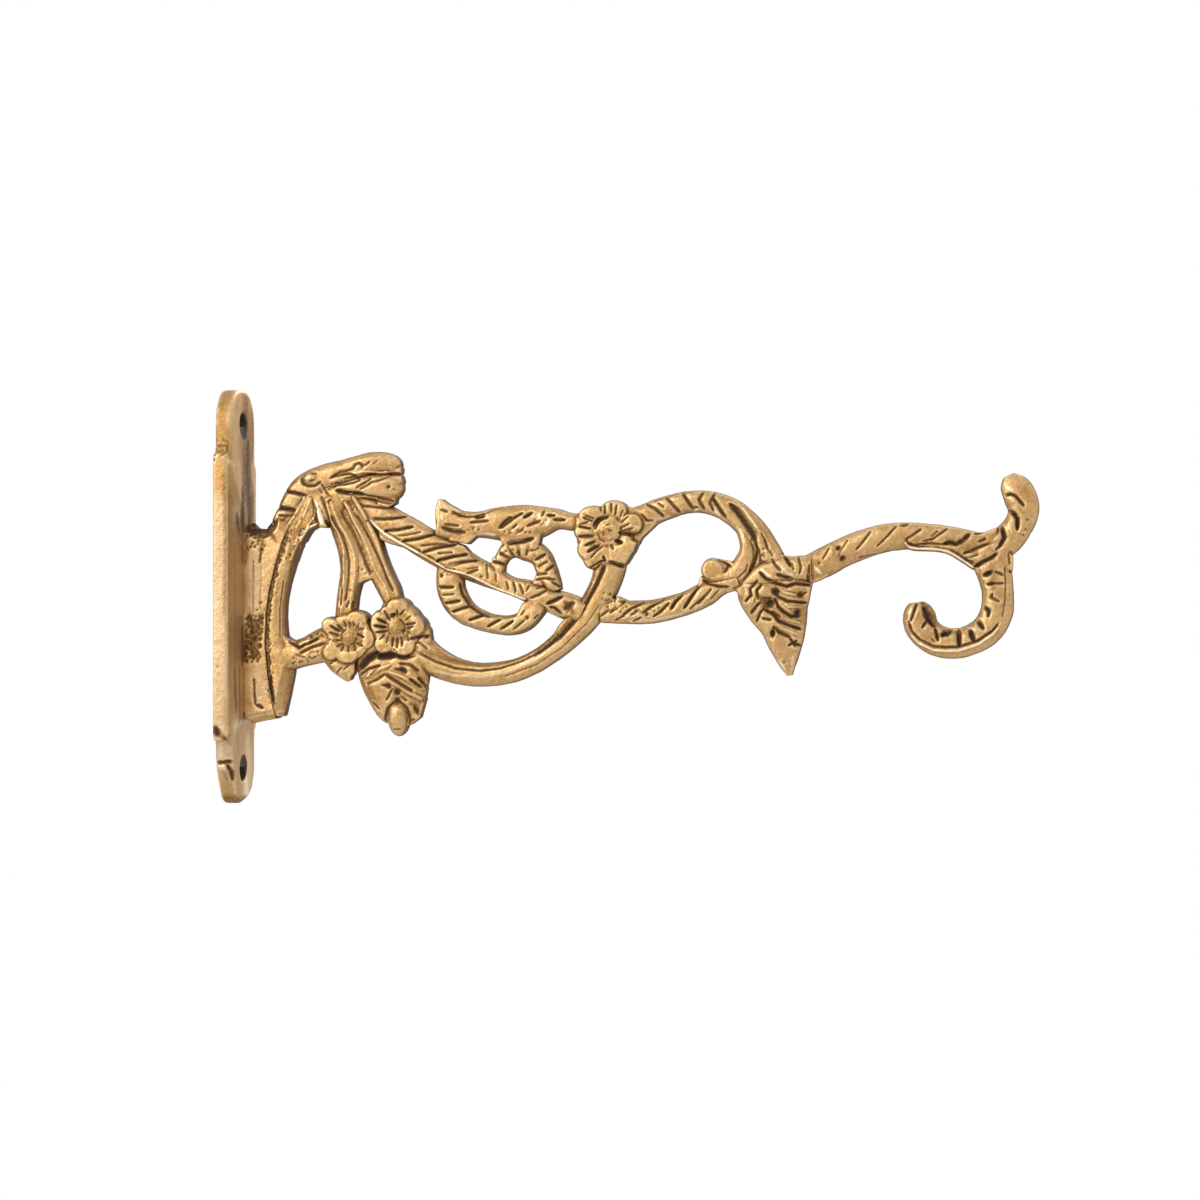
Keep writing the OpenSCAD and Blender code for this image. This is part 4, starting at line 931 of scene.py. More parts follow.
# %% The calyx and the pendant leaf
LEAF_CUTS = [
    (0.6, 1.0, 131.5, 5.9, 133, 4.2, 135.4, 3.2, 138, 2.5, 140, 3.2, 142.1, 3, 144.4, 2.7),
    (0.9, 0.8, 135.6, 5.4, 137.4, 4.6, 139.3, 4.1), (0.6, 1.0, 143.5, 7.6, 143.3, 5.4, 142.9, 3.8),
    (0.5, 0.7, 134.4, 9, 135.4, 7.4, 136.6, 6.2), (0.65, 1.1, 137, 10.6, 138.3, 8.4, 139, 7.2),
    (0.5, 0.6, 140.6, 9.6, 141.4, 7, 141, 5.4), (0.4, 0.5, 139.2, 8.2, 139.6, 6.4),
    (0.45, 0.9, 127.9, -1.2, 129.4, 0.4, 129.1, 1.9, 130.4, 3.1, 131, 3.9),
    (0.45, 0.9, 131.1, -0.6, 130.8, 1.5, 132, 3), (1.9, 1.4, 135.3, 1.3), (2.3, 1.5, 133.9, -1.5),
    (1.6, 1.3, 141.3, 0.5), (0.4, 0.8, 141.5, 0.2, 142.7, 1.1), (1.9, 1.4, 140.6, -3.9),
    (2, 1.4, 134.5, -9.1, 134.6, -8.3), (0.35, 0.8, 134.6, -8.6, 134.8, -6.9),
    (0.5, 1.0, 134.2, 1.9, 136.1, -0.1, 138, -1, 140, -1.2, 143.6, -1.6),
    (0.6, 1.2, 135, -0.3, 135.9, -2.4, 137.4, -3.7, 139, -4.7, 141.3, -4.6),
    (0.6, 1.2, 132.8, -3.1, 134.8, -4.2, 136.1, -5.8, 138.5, -6.8, 141.4, -7.7),
    (0.7, 0.6, 134.4, -3.4, 136.4, -4.9), (0.75, 0.9, 134.8, -7.1, 136.1, -8.4, 138.7, -9.6),
    (0.5, 0.9, 129.2, -4, 131, -1.9, 131.8, -1.3), (0.5, 0.8, 130.6, -6, 131.7, -3.7, 132.9, -2.3),
    (0.5, 0.8, 132.1, -5.1, 134.3, -5.5), (0.45, 0.9, 132.2, -0.3, 134.4, -0.3),
    (0.45, 0.9, 138.6, -9.8, 140.1, -11.9), (0.45, 0.9, 138.3, -11.6, 140.5, -10.4),
    (0.5, 0.9, 139.6, -11, 141.8, -11.8), (0.35, 0.4, 137.3, -15.6), (0.3, 0.2, 138.9, -16.6),
    (0.6, -0.3, 134.6, 2.4, 137.8, 0.9, 140.4, 0.4), (0.55, -0.3, 136, 0.4, 138.4, -2.4, 141.6, -2.6),
    (0.55, -0.3, 134.6, -2.8, 137.4, -5.2, 141.2, -6.2), (0.55, -0.25, 134.6, -5.4, 137, -7.6, 140.6, -9),
    (0.5, -0.25, 129.6, -1.6, 130.4, 1), (0.5, -0.25, 130, -4.6, 131.4, -2.8)
]
wax = pull_stem([
    [127, 2.6, 0.8, 2.4], [129.2, 3.7, 2, 3.2], [131.8, 5, 3.2, 3.8], [135.8, 6.3, 3.5, 3.9],
    [140, 6.5, 3.4, 3.9], [143.9, 6.7, 3.3, 3.7]
])
cut_web(wax, [134, 10.8, 137.2, 10, 140, 9.8, 138, 6, 133, 6], 2.8)
calyx = fuse("calyx_collar", wax)
chase(calyx, LEAF_CUTS)
# Painted highlights on the calyx
tint(calyx, "painted_highlight", [
    (0.5, 0.9, 131.8, 6.6, 133.2, 5.4, 134.4, 4.7), (0.45, 0.6, 136.4, 7.4, 138.2, 5.6, 139.6, 5.2)
])
wax = pull_stem([
    [134.4, 4, 8.6, 3.2], [134.9, 1, 9, 3.4], [135.7, -2.6, 7.8, 3.4], [136.9, -7, 5.9, 3.3],
    [137.5, -11.6, 4.3, 3], [138, -15.8, 2.4, 2.5], [138.5, -18.9, 0.8, 1.4]
], sides=40, flat=5)
cut_web(wax, [142, 4, 144, 3.4, 143, -2, 141, -3], 2.6)
cut_web(wax, [
    124.9, 1.9, 127.9, -1.2, 130.6, -5, 132.3, -9.2, 134.5, -13.4, 137, -12, 137, 3, 128, 4
], 2.8, 1)
pendant = fuse("leaf_pendant", wax, 0.22)
chase(pendant, LEAF_CUTS)
tint(pendant, "oxide_and_shade", [(5, 0.24, 133, 0, 137, -6), (1.6, 0.5, 131.4, 0.6, 133.6, -3.6)])
# Painted highlights near the leaf's tip
tint(pendant, "painted_highlight", [(0.5, 0.6, 135.8, -15, 137.6, -17.4), (0.4, 0.5, 139.4, -14, 138.9, -17)])

# %% [markdown]
# ## The hook
# A plain bar with a light rope drawing carries the load out to the hook. The hook curls
# down and back, slotted along its inner edge and with a smooth raised rim outside, and a
# short tail turns up so that what hangs there can't slip off.

# %% The hook bar
RIM = [
    [166.6, -5.8], [167.4, -8.2], [169.2, -10.1], [172.6, -11.7], [175.6, -11.9], [178.5, -11.8],
    [182.8, -10.4], [186.2, -8.1], [187.8, -6.2]
]
HOOK_CUTS = [
    (0.55, 0.8, 145.6, 8), (0.4, 0.35, 148, 11.8, 147.2, 10.2, 146.5, 9), (1.1, 1.1, 150.1, 11.6),
    (1.4, 1.3, 151.2, 9), (0.38, 0.35, 152.4, 13.6, 151.1, 11.4, 150.1, 9.6),
    (0.45, 0.6, 157.8, 15.6, 156.2, 13.3, 154.4, 11.2),
    (0.42, 0.5, 163.8, 16.8, 161.6, 14.2, 159.2, 11.8),
    (0.45, 0.7, 169.8, 16.2, 168, 14.8, 166.1, 13.6, 166.6, 12.6, 168, 12.2),
    (0.4, 0.6, 168, 12.2, 171.5, 12.6, 175, 12.3), (0.45, 0.6, 175.8, 16.2, 172.4, 13.6, 170, 13.1),
    (0.4, 0.4, 173.6, 15.6, 172, 14.2), (0.85, 1.3, 174.9, 12.4, 176.2, 12.8, 178.1, 12.3),
    (0.95, 0.9, 178.1, 12.5, 179.6, 13.4, 181, 15), (0.5, 0.8, 182.2, 14.9, 184, 15.2),
    (1.3, 1.3, 164.9, 17.2, 166.4, 17.4), (0.55, 0.8, 179.6, 10.2, 181, 10.6, 182.8, 11.5, 185.4, 12.6),
    (0.8, 1.2, 182.4, 7.2, 184, 8.2, 186, 9.1, 187.4, 10.2), (0.5, 0.5, 155, 9.2, 158.8, 10),
    (0.55, 0.6, 183, 13, 184.8, 13.8), (0.4, 0.4, 181, 9.2, 183, 9.9), (1, 1.3, 184.2, 5, 186.2, 5.9),
    (0.5, 0.7, 186.8, 6, 188.9, 5.1), (0.55, 1.0, 185, 2.9, 186.8, 3.2),
    (0.42, 0.7, 186.8, 3.1, 188.9, 3.2), (0.4, 0.8, 186.4, 0.8, 185.9, -0.1, 188, -1.2),
    (0.8, 1, 184.4, -2.4, 185.4, -3.3, 185.3, -4.6), (0.9, 1.1, 182.8, -5.6, 184.2, -7.5),
    (1.1, 1.3, 181, -7.8, 182, -10.4), (1, 1.4, 178.4, -7.8, 178.6, -11.6),
    (1.6, 1.5, 174.6, -9, 176.6, -7.8), (0.7, 1.0, 173, -7.2, 173.6, -10.3),
    (2.2, 1.5, 170.4, -2.4, 171.4, -4.4, 172.6, -6.6), (0.6, 0.8, 171.2, -5.4, 169.9, -7.3),
    (0.45, 1.0, 168.6, -1.4, 167.2, -5.7), (0.35, 0.5, 172, -9.8, 173, -10.8), (0.4, 0.8, RIM),
    (0.55, -0.3, [[x * 1.006 - 1.1, z - 0.9] for x, z in RIM]),
    (0.35, 0.3, 188.6, -4.6, 189.2, -1, 189.4, 3, 189.2, 7), (0.5, 0.5, 190, 10.2, 190.4, 7.6),
    (0.5, 1.1, 189.4, 23.8, 190.4, 24.2, 191.6, 23.8, 193.7, 21.3),
    (0.85, 1.5, 190.2, 20.2, 191.4, 19.4, 192.1, 18.2, 192.1, 15.8),
    (0.85, 1.4, 188.3, 16.6, 189.1, 13.9, 187.9, 11.7), (0.5, 0.7, 188, 11.8, 187, 11),
    (0.45, 0.5, 194.4, 18.1), (0.4, 0.4, 194, 15.8), (0.4, 0.4, 193.5, 14.5),
    (0.5, 0.5, 189.2, 29.8, 191, 30.2, 193, 29)
]
HOOK_BEAD = [[166.1, 12.6], [167.7, 11.5], [173.1, 11.2], [176.2, 10.5], [179.4, 8.6], [182, 6.8]]
wax = pull_stem([
    [142, 6.6, 3], [146, 7.9, 3.7], [150.6, 10.3, 3.6], [155.4, 12.3, 3.6], [160.4, 13.8, 3.5],
    [165.6, 14.4, 3.4], [171, 14.2, 3.3], [176, 13.5, 3.4], [180.6, 12, 3.9], [184.6, 10.4, 4.2]
], 3.2)
pull_bead(wax, HOOK_BEAD, 0.7, 3.5)
cut_web(wax, [143.2, 3, 145.6, 3.7, 148, 5, 147, 7, 143, 7], 2.6)
cut_web(wax, [180, 15.6, 184.2, 15.3, 187.6, 16.6, 188, 12, 182, 12], 2.6)
cut_web(wax, [179.6, 8.4, 183.4, 4.8, 186, 8, 181, 12], 2.6)
bar = fuse("hook_bar", wax)
chase(bar, HOOK_CUTS)
# Painted highlights on the bar's bead and where it starts
tint(bar, "painted_highlight", [(0.55, 0.9, HOOK_BEAD), (0.7, 0.9, 144.6, 7, 146, 5.6)])
# Painted shade where the bar runs into the curl
tint(bar, "oxide_and_shade", [(3, 0.32, 176, 13.4, 182, 11.4, 186, 12)])

# %% The hook curl and its tail
wax = pull_stem([
    [184.6, 12, 4.5], [186.4, 7, 4.4], [187.5, 1.6, 3.9], [187.3, -3.6, 4], [184.9, -7.9, 3.9],
    [180.4, -10.5, 3.7], [176, -11, 3.8], [172.3, -9.8, 3.9], [169.8, -7.2, 4.1], [169.1, -4.4, 4],
    [168.7, -2.4, 3.1, 3], [168.5, -1.2, 1.8, 2.2]
], 3.3)
cut_web(wax, [186, 12, 189.8, 11.6, 191.4, 9.4, 191.2, 6.2, 187, 6], 2.8)
curled = fuse("hook_curl", wax)
chase(curled, HOOK_CUTS)
tint(curled, "oxide_and_shade", [
    (2, 0.5, 170, -1.4, 171.6, -4.4, 173, -7), (1.6, 0.3, 174, -8.6, 180, -8.6),
    (2, 0.3, 186, 8, 186.6, 2)
])
# Painted highlights along the outer rim and the curl's end
tint(curled, "painted_highlight", [
    (0.5, 0.6, [[x - 0.1, z - 0.9] for x, z in RIM[1:]]), (0.5, 0.5, 167.4, -3, 167, -6)
])
wax = pull_stem([
    [186.6, 10.6, 3.4, 3.1], [190, 13.7, 3.8, 3.1], [192.4, 16.8, 3.6, 3], [193.6, 20.4, 3.8, 2.9],
    [192.6, 24, 4, 2.7], [190.9, 27, 3.2, 2.2], [190, 28.8, 1.4, 1.3]
])
turned_up = fuse("hook_tail", wax)
chase(turned_up, HOOK_CUTS)
# Painted highlights on the tail
tint(turned_up, "painted_highlight", [(0.6, 0.6, 189.4, 26, 191, 25), (0.5, 0.5, 190, 17.4, 190.8, 15)])

# %% [markdown]
# ## The screw plate
# The plate is a plain casting, filed along its edges and drilled by hand. Its skin starts
# from a copy of its solid, with wax that rounds off the shoulders, and the front is planed
# in one sweep. Then it gets what the foundry and the file left: a cold-shut crack, small
# hollows and stains, and with them painted shade and painted highlights. Its back lies on
# the wall and stays plain.

# %% The screw plate
wax = solid_copy("back_plate")
# Blended shoulders: the long edges narrow to the screw pads over a few millimetres
pull_stem([
    [2, 26, 1.9, 12.9], [2, 33.4, 1.9, 12.9], [2, 36, 1.9, 11.6], [2, 42, 1.9, 10.6]
], bm=wax, flat=14)
pull_stem([
    [2, -26, 1.9, 12.9], [2, -32, 1.9, 12.6], [2, -36, 1.9, 11.4], [2, -42, 1.9, 10.6]
], bm=wax, flat=14)
plate = fuse("back_plate", wax, 0.35, 30, 0.12)

# %% Plane the front in one long sweep, from the screw pads up to the swell in the middle
PAD, SWELL = 4.4, 1.2  # mm: the pads' height off the wall, and what the middle adds to it
TOP, TOP_RUN = 33, 15  # mm: where the swell ends above the middle, and the length of its slope
BOTTOM, BOTTOM_RUN = 39, 13  # mm: the same below the middle
co, _ = spots(plate)
rise = np.where(co[:, 2] > 0, (TOP - co[:, 2]) / TOP_RUN, (BOTTOM + co[:, 2]) / BOTTOM_RUN)
rise = np.clip(rise, 0, 1)
co[:, 0] = np.minimum(co[:, 0], PAD + SWELL * rise * rise * (3 - 2 * rise))
settle(plate, co)
print("the sweep stands", round(float(co[:, 0].max()), 2), "mm off the wall")


# %% Flaws, stains, painted shade and painted highlights
HOLE_PLACE, HOLE_RADIUS = 42, 3.3  # mm from the middle, and a little more than the bore


def near_side(co):
    """The plate's edge on the camera's side, which has flaws of its own."""
    return (co[:, 1] < -8).astype(float)


def front(co):
    """The plate's front face, without the edge round it."""
    return np.clip((co[:, 0] - 3.8) / 0.4, 0, 1)


def clear_of_wall(co):
    """All of the plate but the back that lies on the wall."""
    return np.clip(2 * co[:, 0] - 0.4, 0, 1)


def bores(co):
    """The walls of the two screw holes, above and below the middle."""
    return (np.hypot(co[:, 1], np.abs(co[:, 2]) - HOLE_PLACE) < HOLE_RADIUS).astype(float)


chase(plate, [
    (0.6, 1.1, 0.4, -40.2, 4.4, -39.8), (0.9, 0.8, 3.2, -40.8, 3.8, -42.4, 4, -44.8),
    (0.3, 0.4, 0.8, 36.6, 3.4, 36.6), (0.3, 0.3, 2.2, 38.4, 3.4, 37.4, 3.3, 35, 2.2, 34),
    (0.45, 0.7, 0.5, 34.4), (0.4, 0.6, 0.4, 33), (0.35, 0.4, 0.2, -3.4), (0.4, 0.5, 1.4, -17),
    (0.35, 0.4, 3.2, 26), (0.35, 0.3, 1.4, 18)
], where=near_side)
tint(plate, "oxide_and_shade", [
    (2.6, 1.2, 0.8, -31.8, 1.4, -33), (1.0, 0.6, 1.4, -32.4, 3.4, -34.6), (1.2, 0.7, 3.6, -41.4, 4, -44),
    (0.8, 0.4, 2, -42, 2.5, -44.6), (0.8, 0.3, 3, 30, 3.2, 12, 3, -4), (2.6, 0.3, 1.6, 47, 1.6, 36)
], where=near_side)
tint(plate, "oxide_and_shade", [(30, 1.1, 0, HOLE_PLACE, 0, -HOLE_PLACE)], plane=(1, 2), where=bores)
# Painted shade over the top tongue, in the corner beside the foot and on the bottom bevel; the narrow
# streaks are stains
tint(plate, "oxide_and_shade", [
    (12, 0.5, 2, 48, 2, 27), (5, 0.45, 7, 46, 7, 34), (5, 0.6, 1, 37, 0, 30, -2, 24),
    (3.4, 0.6, 6, 28, 4, 20, 0, 15), (6, 0.85, 4, 38, 2.4, 28, 0.5, 18),
    (2.5, 0.4, 0, 34, -2, 22, -4, 16), (2.6, 0.8, -3, 27, -4.5, 22, -5, 16.4), (3, 0.5, -8, 20, -7, 16),
    (0.8, 0.4, -5.4, 13, -5.2, 8), (1.1, 0.6, -5.2, -7, -5.2, -17),
    (0.9, 0.25, -9.4, 12, -9, -4, -9.4, -20), (0.9, 0.35, -6.8, -16, -6.4, -30, -5, -38),
    (1.4, 0.4, -9.4, -17, -8.4, -28), (2, 0.5, -10, -48.4, -4, -49.8, 4, -50)
], plane=(1, 2), where=clear_of_wall)
# Painted highlights on the lower end of the plate
tint(plate, "painted_highlight", [
    (7, 0.7, 2, -44, 3, -50), (9, 0.35, 4, -36, 4, -50), (3, 0.3, -11, -36, -10, -48)
], plane=(1, 2), where=clear_of_wall)
# A broad painted highlight over the front
tint(plate, "painted_highlight", [(12, 0.42, -8, 20, -8, -30)], plane=(1, 2), where=front)
# Painted highlights along the near edge
tint(plate, "painted_highlight", [
    (1.7, 0.4, 1.7, -33.6, 1.8, -39.6), (5, 0.2, 1.6, 24, 1.6, -28), (5, 0.25, 1.8, -30, 1.8, -40)
], where=near_side)

# %% [markdown]
# ## Where dark oxide stays, where brass shines, and painted shade and sheen
# Polishing reaches the high places and misses the low ones. More marks record that, and
# they also paint light and shade. The bend of the skin is read for each point: positive
# on ridges, which polish and a painted sheen lighten, and negative in hollows, which hold
# oxide. Walls that face sideways get a mark of 1, and the brass paints them in shade. The
# joints between castings get oxide and painted shade, so each point looks for a
# neighbour's skin that stands across it, nearer than a millimetre.

# %% Feel the ridges, the hollows and the flanks
# A flank starts where the normal's Y falls under 0.55, and is a full one 0.45 below that
WALL, WALL_RUN = 0.55, 0.45


def feel(piece, rounds=2):
    """Writes how ridged each point is, as the sum of the skin's two curvatures in 1/mm,
    and how much of a flank, the mark that paints side walls in shade. Rounds of averaging
    take the noise of the mesh out."""
    co, normal = spots(piece)
    ends = np.empty(len(piece.data.edges) * 2, np.int32)
    piece.data.edges.foreach_get("vertices", ends)
    a, b = ends.reshape(-1, 2).T
    count = np.bincount(ends, minlength=len(co))

    def around(values):
        return (np.bincount(a, values[b], len(co)) + np.bincount(b, values[a], len(co))) / count

    middle = np.stack([around(co[:, i]) for i in range(3)], 1)
    step = np.bincount(ends, np.repeat(np.linalg.norm(co[a] - co[b], axis=1), 2), len(co)) / count
    # On a ball of radius r a neighbour lies step ** 2 / 2r deeper, and both curvatures are 1/r
    bend = ((co - middle) * normal).sum(1) / step ** 2 * 4
    painted_side_shade = np.clip((WALL - np.abs(normal[:, 1])) / WALL_RUN, 0, 1)
    dirt_and_shade = marks(piece, "oxide_and_shade")[1]
    for _ in range(rounds):
        bend, painted_side_shade, dirt_and_shade = ((v + around(v)) / 2 for v in (bend, painted_side_shade, dirt_and_shade))
    for name, values in (("wear_and_sheen", bend), ("painted_side_shade", painted_side_shade), ("oxide_and_shade", dirt_and_shade)):
        marks(piece, name)[0].data.foreach_set("value", values.astype(np.float32))
    return bend


for piece in pieces.values():
    bend = feel(piece)
    marks(piece, "painted_highlight")
print("bend runs from", round(float(bend.min()), 2), "to", round(float(bend.max()), 2), "per mm")

# %% Darken the joints with oxide and painted shade
# The darkening at a joint is oxide and painted shade
JOINT, JOINT_OXIDE_AND_SHADE = 0.9, 0.55  # how far oxide creeps from a joint in mm, and its strength
trees = {}
for name, piece in pieces.items():
    co, _ = spots(piece)
    faces = [p.vertices[:] for p in piece.data.polygons]
    trees[name] = (BVHTree.FromPolygons(co.tolist(), faces), co.min(0) - JOINT, co.max(0) + JOINT)
for name, piece in pieces.items():
    co, normal = spots(piece)
    oxide_and_shade, dirt_and_shade = marks(piece, "oxide_and_shade")
    for other, (tree, low, high) in trees.items():
        if other == name or {name, other} == {"back_plate", "arm_foot"}:
            continue
        for i in np.where(((co > low) & (co < high)).all(1))[0]:
            spot, facing, _, gap = tree.find_nearest(co[i].tolist(), JOINT)
            if spot is not None:
                turned = 1 - max(0, facing.dot(Vector(normal[i])))
                dirt_and_shade[i] = max(dirt_and_shade[i], min(JOINT_OXIDE_AND_SHADE, turned) * (1 - gap / JOINT))
    oxide_and_shade.data.foreach_set("value", dirt_and_shade)
print("joints darkened on", len(pieces), "pieces")

# %% [markdown]
# ## Brass
# Cast brass comes out of the sand dull and brown. It is tumbled and wheeled bright, then
# dipped so that it darkens, and rubbed again. That leaves pale gold on the high places,
# tan on the flats and near-black brown in the cuts. On top of that the material paints a
# sheen on the ridges, highlights where they are marked, and shade on side walls and at
# joints. It is bare metal, so it is fully metallic where it shines. The oxide is not a
# metal, and is rough and brown.

# %% Colours and one function that adds a node
def linear(hex_colour):
    """An sRGB hex colour as linear red, green, blue and alpha."""
    parts = [int(hex_colour[i:i + 2], 16) / 255 for i in (1, 3, 5)]
    return [c / 12.92 if c <= 0.04045 else ((c + 0.055) / 1.055) ** 2.4 for c in parts] + [1]


def node(tree, kind, sockets=None, out=0, **settings):
    """Adds one node and gives back one of its outputs. Settings are the node's own, and
    sockets give an input a value or the output that feeds it."""
    made = tree.nodes.new("ShaderNode" + kind)
    for name, value in settings.items():
        setattr(made, name, value)
    for key, value in (sockets or {}).items():
        if isinstance(value, bpy.types.NodeSocket):
            tree.links.new(value, made.inputs[key])
        else:
            made.inputs[key].default_value = value
    return made.outputs[out] if made.outputs else None


# %% Antiqued cast brass
def cast_brass(name, gold, tan, streak, side_shade_strength):
    """Sand-cast brass, wheeled and antiqued. Streak squeezes the clouds along one axis."""
    material = bpy.data.materials.new(name)
    material.use_nodes = True
    tree = material.node_tree
    tree.nodes.clear()
    place = node(tree, "TexCoord", out="Object")
    oxide_and_shade, wear_and_sheen, painted_side_shade, painted_highlight = (node(tree, "Attribute", out="Fac", attribute_name=mark)
                                  for mark in ("oxide_and_shade", "wear_and_sheen", "painted_side_shade", "painted_highlight"))

    # Clouds of tan about 5 mm across, from uneven dipping
    squeezed = node(tree, "Mapping", {"Vector": place, "Scale": streak})
    clouds = node(tree, "TexNoise", {"Vector": squeezed, "Scale": 1000 / 5, "Detail": 4})
    # Patches about 3 mm across where the brass is a little redder or greener
    moved = node(tree, "Mapping", {"Vector": place, "Location": (0.4, 0.2, 0.7)})
    tinge = node(tree, "TexNoise", {"Vector": moved, "Scale": 1000 / 3.1})
    # Mottling about 1 mm across, the skin of the sand mould showing through
    mottle = node(tree, "TexNoise", {"Vector": place, "Scale": 1000 / 1.1, "Detail": 3})
    # Grain about 0.4 mm, the sand itself
    grain = node(tree, "TexNoise", {"Vector": place, "Scale": 1000 / 0.4})

    # Dirt and painted shade: oxide in the cuts and the hollows, painted shade from the tints and the
    # joints, broken up by the grain
    hollow = node(tree, "MapRange", {"Value": wear_and_sheen, "From Min": -0.25, "From Max": -1.2, "To Max": 0.65})
    dirt_and_shade = node(tree, "Math", {0: oxide_and_shade, 1: hollow}, operation="MAXIMUM")
    for pattern, low, high in ((mottle, 0.8, 1.12), (grain, 0.72, 1.2)):
        patchy = node(tree, "MapRange", {"Value": pattern, "From Min": 0.3, "From Max": 0.65,
                                         "To Min": low, "To Max": high})
        dirt_and_shade = node(tree, "Math", {0: dirt_and_shade, 1: patchy}, operation="MULTIPLY")
    # Painted shade on the walls that face sideways
    side = node(tree, "Math", {0: painted_side_shade, 1: side_shade_strength}, operation="MULTIPLY")
    dirt_and_shade = node(tree, "Math", {0: dirt_and_shade, 1: side}, operation="MAXIMUM")

    # Each coat lies over the last: what places it, from where to where, how much, its colour
    colour = linear(gold)
    for by, low, high, most, coat in (
            (clouds, 0.35, 0.68, 1, tan), (tinge, 0.52, 0.66, 0.4, "#C89472"),
            (tinge, 0.46, 0.34, 0.4, "#B4985A"), (mottle, 0.56, 0.74, 0.45, "#8A6538"),
            # The pale ridge coat is polish and a painted sheen, and the cream coat is painted highlight
            (wear_and_sheen, 0.2, 1.1, 0.55, "#E6CB9A"), (painted_highlight, 0, 1, 1, "#F7EACB"),
            # The three dark coats are oxide, and painted shade where the marks carry it
            (dirt_and_shade, 0.06, 0.42, 1, "#936C3A"), (dirt_and_shade, 0.38, 0.75, 1, "#5E3F1E"),
            (dirt_and_shade, 0.7, 1.05, 1, "#2A1A0C")):
        share = node(tree, "MapRange", {"Value": by, "From Min": low, "From Max": high, "To Max": most})
        colour = node(tree, "Mix", {0: share, 6: colour, 7: linear(coat)}, 2, data_type="RGBA")

    rough = node(tree, "Math", {0: mottle, 1: grain}, operation="ADD")
    pits = node(tree, "TexVoronoi", {"Vector": place, "Scale": 1000 / 1.6})
    holes = node(tree, "MapRange", {"Value": pits, "From Min": 0.05, "From Max": 0.16,
                                    "To Min": -0.5, "To Max": 0.0})
    height = node(tree, "Math", {0: rough, 1: holes}, operation="ADD")
    bump = node(tree, "Bump", {"Height": height, "Strength": 0.35, "Distance": 0.0002})
    metal = node(tree, "MapRange", {"Value": dirt_and_shade, "From Min": 0.25, "From Max": 0.9,
                                    "To Min": 1.0, "To Max": 0.2})
    matt = node(tree, "MapRange", {"Value": dirt_and_shade, "From Min": 0.1, "From Max": 0.8,
                                   "To Min": 0.48, "To Max": 0.75})
    shader = node(tree, "BsdfPrincipled", {"Base Color": colour, "Metallic": metal,
                                           "Roughness": matt, "Normal": bump})
    node(tree, "OutputMaterial", {"Surface": shader})
    print(name, "has", len(tree.nodes), "nodes")
    return material


arm_brass = cast_brass("antiqued_cast_brass", "#CBA471", "#AF8650", (1, 1, 1), 0.75)
plate_brass = cast_brass("filed_plate_brass", "#B99560", "#A47D48", (1, 1, 0.22), 0.1)

# %% [markdown]
# ## Steel for the two hidden screws
# The screws that hold the arm come in from the back of the plate. They are turned from
# mild steel and show only there. Their CAD form is right, so the node stays and only
# gets its metal: grey, with the fine rings that a lathe leaves.

# %% Turned steel
steel = bpy.data.materials.new("turned_steel")
steel.use_nodes = True
tree = steel.node_tree
tree.nodes.clear()
place = node(tree, "TexCoord", out="Object")
rings = node(tree, "TexNoise", {"Vector": place, "Scale": 1000 / 0.6})
tone = node(tree, "Mix", {0: rings, 6: linear("#8E8B86"), 7: linear("#B9B5AE")}, 2, data_type="RGBA")
bump = node(tree, "Bump", {"Height": rings, "Strength": 0.2, "Distance": 0.00005})
shader = node(tree, "BsdfPrincipled", {"Base Color": tone, "Metallic": 1.0, "Roughness": 0.34,
                                       "Normal": bump})
node(tree, "OutputMaterial", {"Surface": shader})
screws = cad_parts["arm_fixing_screws"]
screws.data.materials.clear()
screws.data.materials.append(steel)

# %% [markdown]
# ## Each skin stands for its solid
# A piece rides on the bracket's one body, hides the CAD node it stands for, and takes
# its material.

# %% Ride, replace and finish
for node_name, piece in pieces.items():
    piece.data.materials.clear()
    piece.data.materials.append(plate_brass if node_name == "back_plate" else arm_brass)
    piece.data.polygons.foreach_set("use_smooth", [True] * len(piece.data.polygons))
    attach(piece, "root")
    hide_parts(node_name)
print(len(pieces), "pieces,", sum(len(p.data.polygons) for p in pieces.values()), "faces")

# %% [markdown]
# ## Camera, floor and light
# The photograph was taken level with the bracket through a longish lens, a little from
# the hook's side, so that the plate's face shows as a narrow strip. The bracket belongs
# on a wall, so the pale floor lies well below it, under the picture's lower edge, and
# fades into the white surroundings.

# %% The camera
camera_data = bpy.data.cameras.new("camera")
camera_data.lens, camera_data.sensor_width = 80, 36
camera = bpy.data.objects.new("camera", camera_data)
scene.collection.objects.link(camera)
# Its place was fitted to the plate's two holes and the outline of the arm
camera.location = (0.18219, -0.63674, -0.00075)
camera.rotation_euler = (math.radians(90), 0, math.radians(8))
scene.camera = camera
print("the camera stands", round(camera.location.length, 3), "m from the plate")


# %% What sees the white
def white_rays(tree):
    """1 for the rays that should meet plain white: camera, glossy and transmission."""
    seen = node(tree, "LightPath", out="Is Camera Ray")
    for other in ("Is Glossy Ray", "Is Transmission Ray"):
        also = node(tree, "LightPath", out=other)
        seen = node(tree, "Math", {0: seen, 1: also}, operation="MAXIMUM")
    return seen


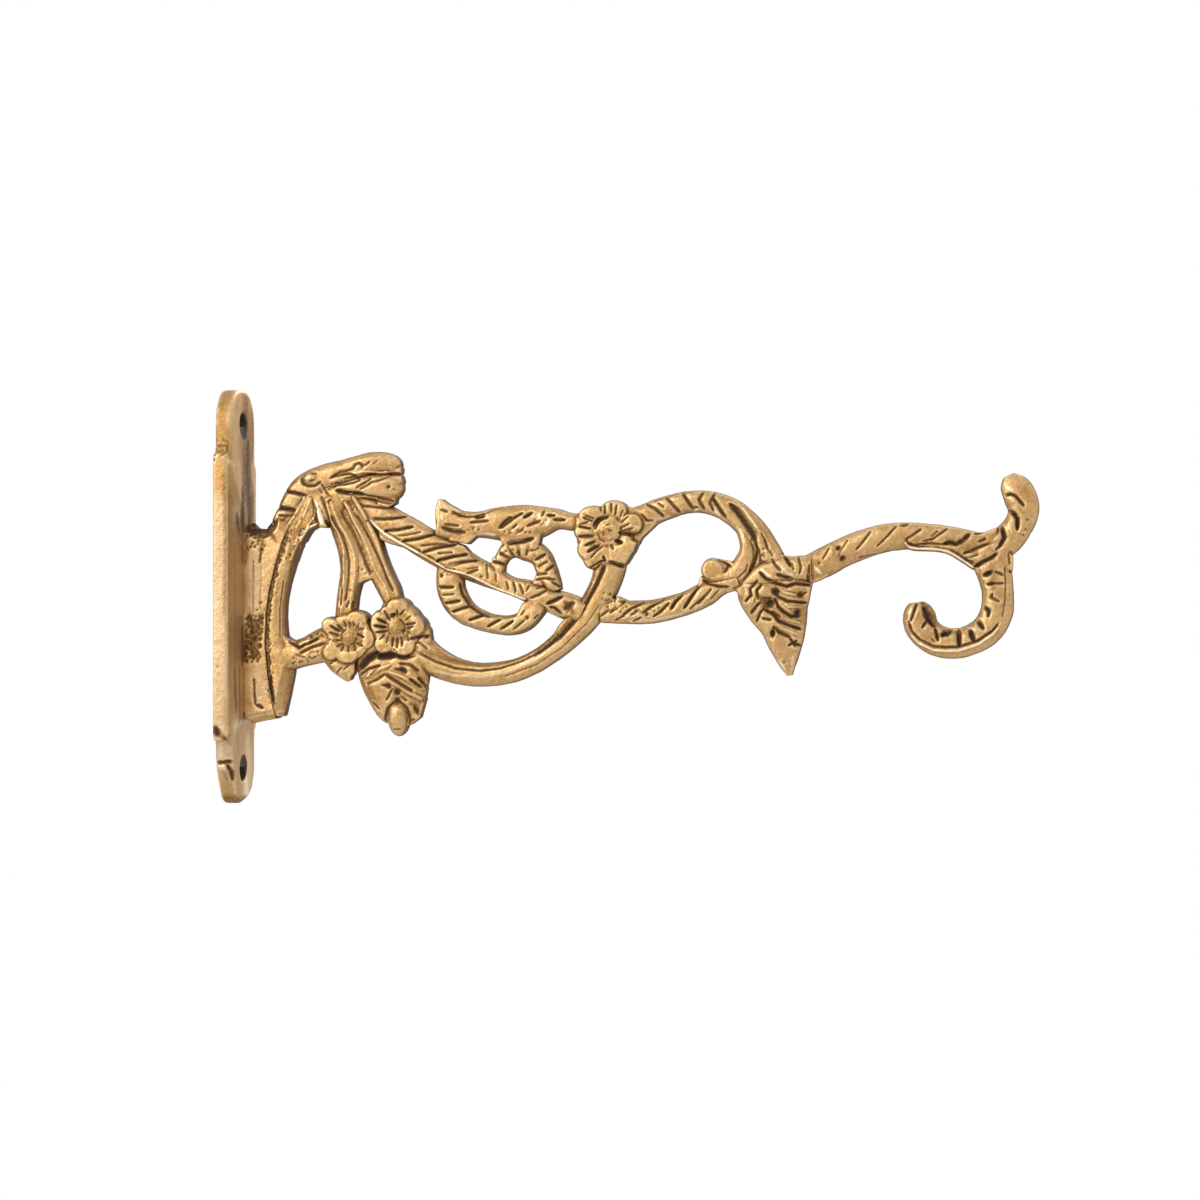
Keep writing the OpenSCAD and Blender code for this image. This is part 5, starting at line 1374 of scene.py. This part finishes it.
# %% The floor
FLOOR_MIDDLE, FLOOR_RADIUS = (0.1, 0, -0.3), 0.6
FADE_FROM, FADE_TO = 0.2, 0.58  # metres from the middle, where the floor turns into white
disc = bmesh.new()
bmesh.ops.create_circle(disc, cap_ends=True, segments=96, radius=FLOOR_RADIUS,
                        matrix=Matrix.Translation(FLOOR_MIDDLE))
floor_data = bpy.data.meshes.new("floor")
disc.to_mesh(floor_data)
disc.free()
floor = bpy.data.objects.new("floor", floor_data)
scene.collection.objects.link(floor)
floor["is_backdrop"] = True
paper = bpy.data.materials.new("pale_floor")
paper.use_nodes = True
tree = paper.node_tree
tree.nodes.clear()
spot = node(tree, "TexCoord", out="Object")
away = node(tree, "VectorMath", {0: spot, 1: FLOOR_MIDDLE}, "Value", operation="DISTANCE")
fade = node(tree, "MapRange", {"Value": away, "From Min": FADE_FROM, "From Max": FADE_TO,
                               "To Min": 0.6})
share = node(tree, "Math", {0: white_rays(tree), 1: fade}, operation="MULTIPLY")
matt = node(tree, "BsdfDiffuse", {"Color": linear("#FFFFFF")})
white = node(tree, "Emission", {"Color": linear("#FFFFFF"), "Strength": 1.0})
mixed = node(tree, "MixShader", {0: share, 1: matt, 2: white})
node(tree, "OutputMaterial", {"Surface": mixed})
floor_data.materials.append(paper)

# %% The white surroundings
world = bpy.data.worlds.new("studio")
scene.world = world
world.use_nodes = True
tree = world.node_tree
tree.nodes.clear()
soft = node(tree, "Background", {"Color": linear("#FFFFFF"), "Strength": 0.5})
white = node(tree, "Background", {"Color": linear("#FFFFFF"), "Strength": 1.0})
mixed = node(tree, "MixShader", {0: white_rays(tree), 1: soft, 2: white})
node(tree, "OutputWorld", {"Surface": mixed})


# %% The soft boxes
BRACKET_MIDDLE = Vector((0.1, 0, 0))


def soft_box(name, place, size, watts):
    """A square lamp that looks at the middle of the bracket."""
    lamp = bpy.data.lights.new(name, "AREA")
    lamp.size, lamp.energy = size, watts
    box = bpy.data.objects.new(name, lamp)
    scene.collection.objects.link(box)
    box.location = place
    box.rotation_euler = (BRACKET_MIDDLE - box.location).to_track_quat("-Z", "Y").to_euler()
    print(name, "gives", watts, "W")


soft_box("key", (-0.35, -0.6, 0.25), 0.4, 3)
soft_box("table_glow", (0.1, -0.35, -0.55), 0.5, 3)
soft_box("back_glow", (0.2, 0.6, 0.4), 0.4, 2)
scene.view_settings.view_transform = "Standard"

# %% Sizes, and the end
low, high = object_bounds()
print("visual box", [round(v / MM, 2) for v in (*low, *high)])
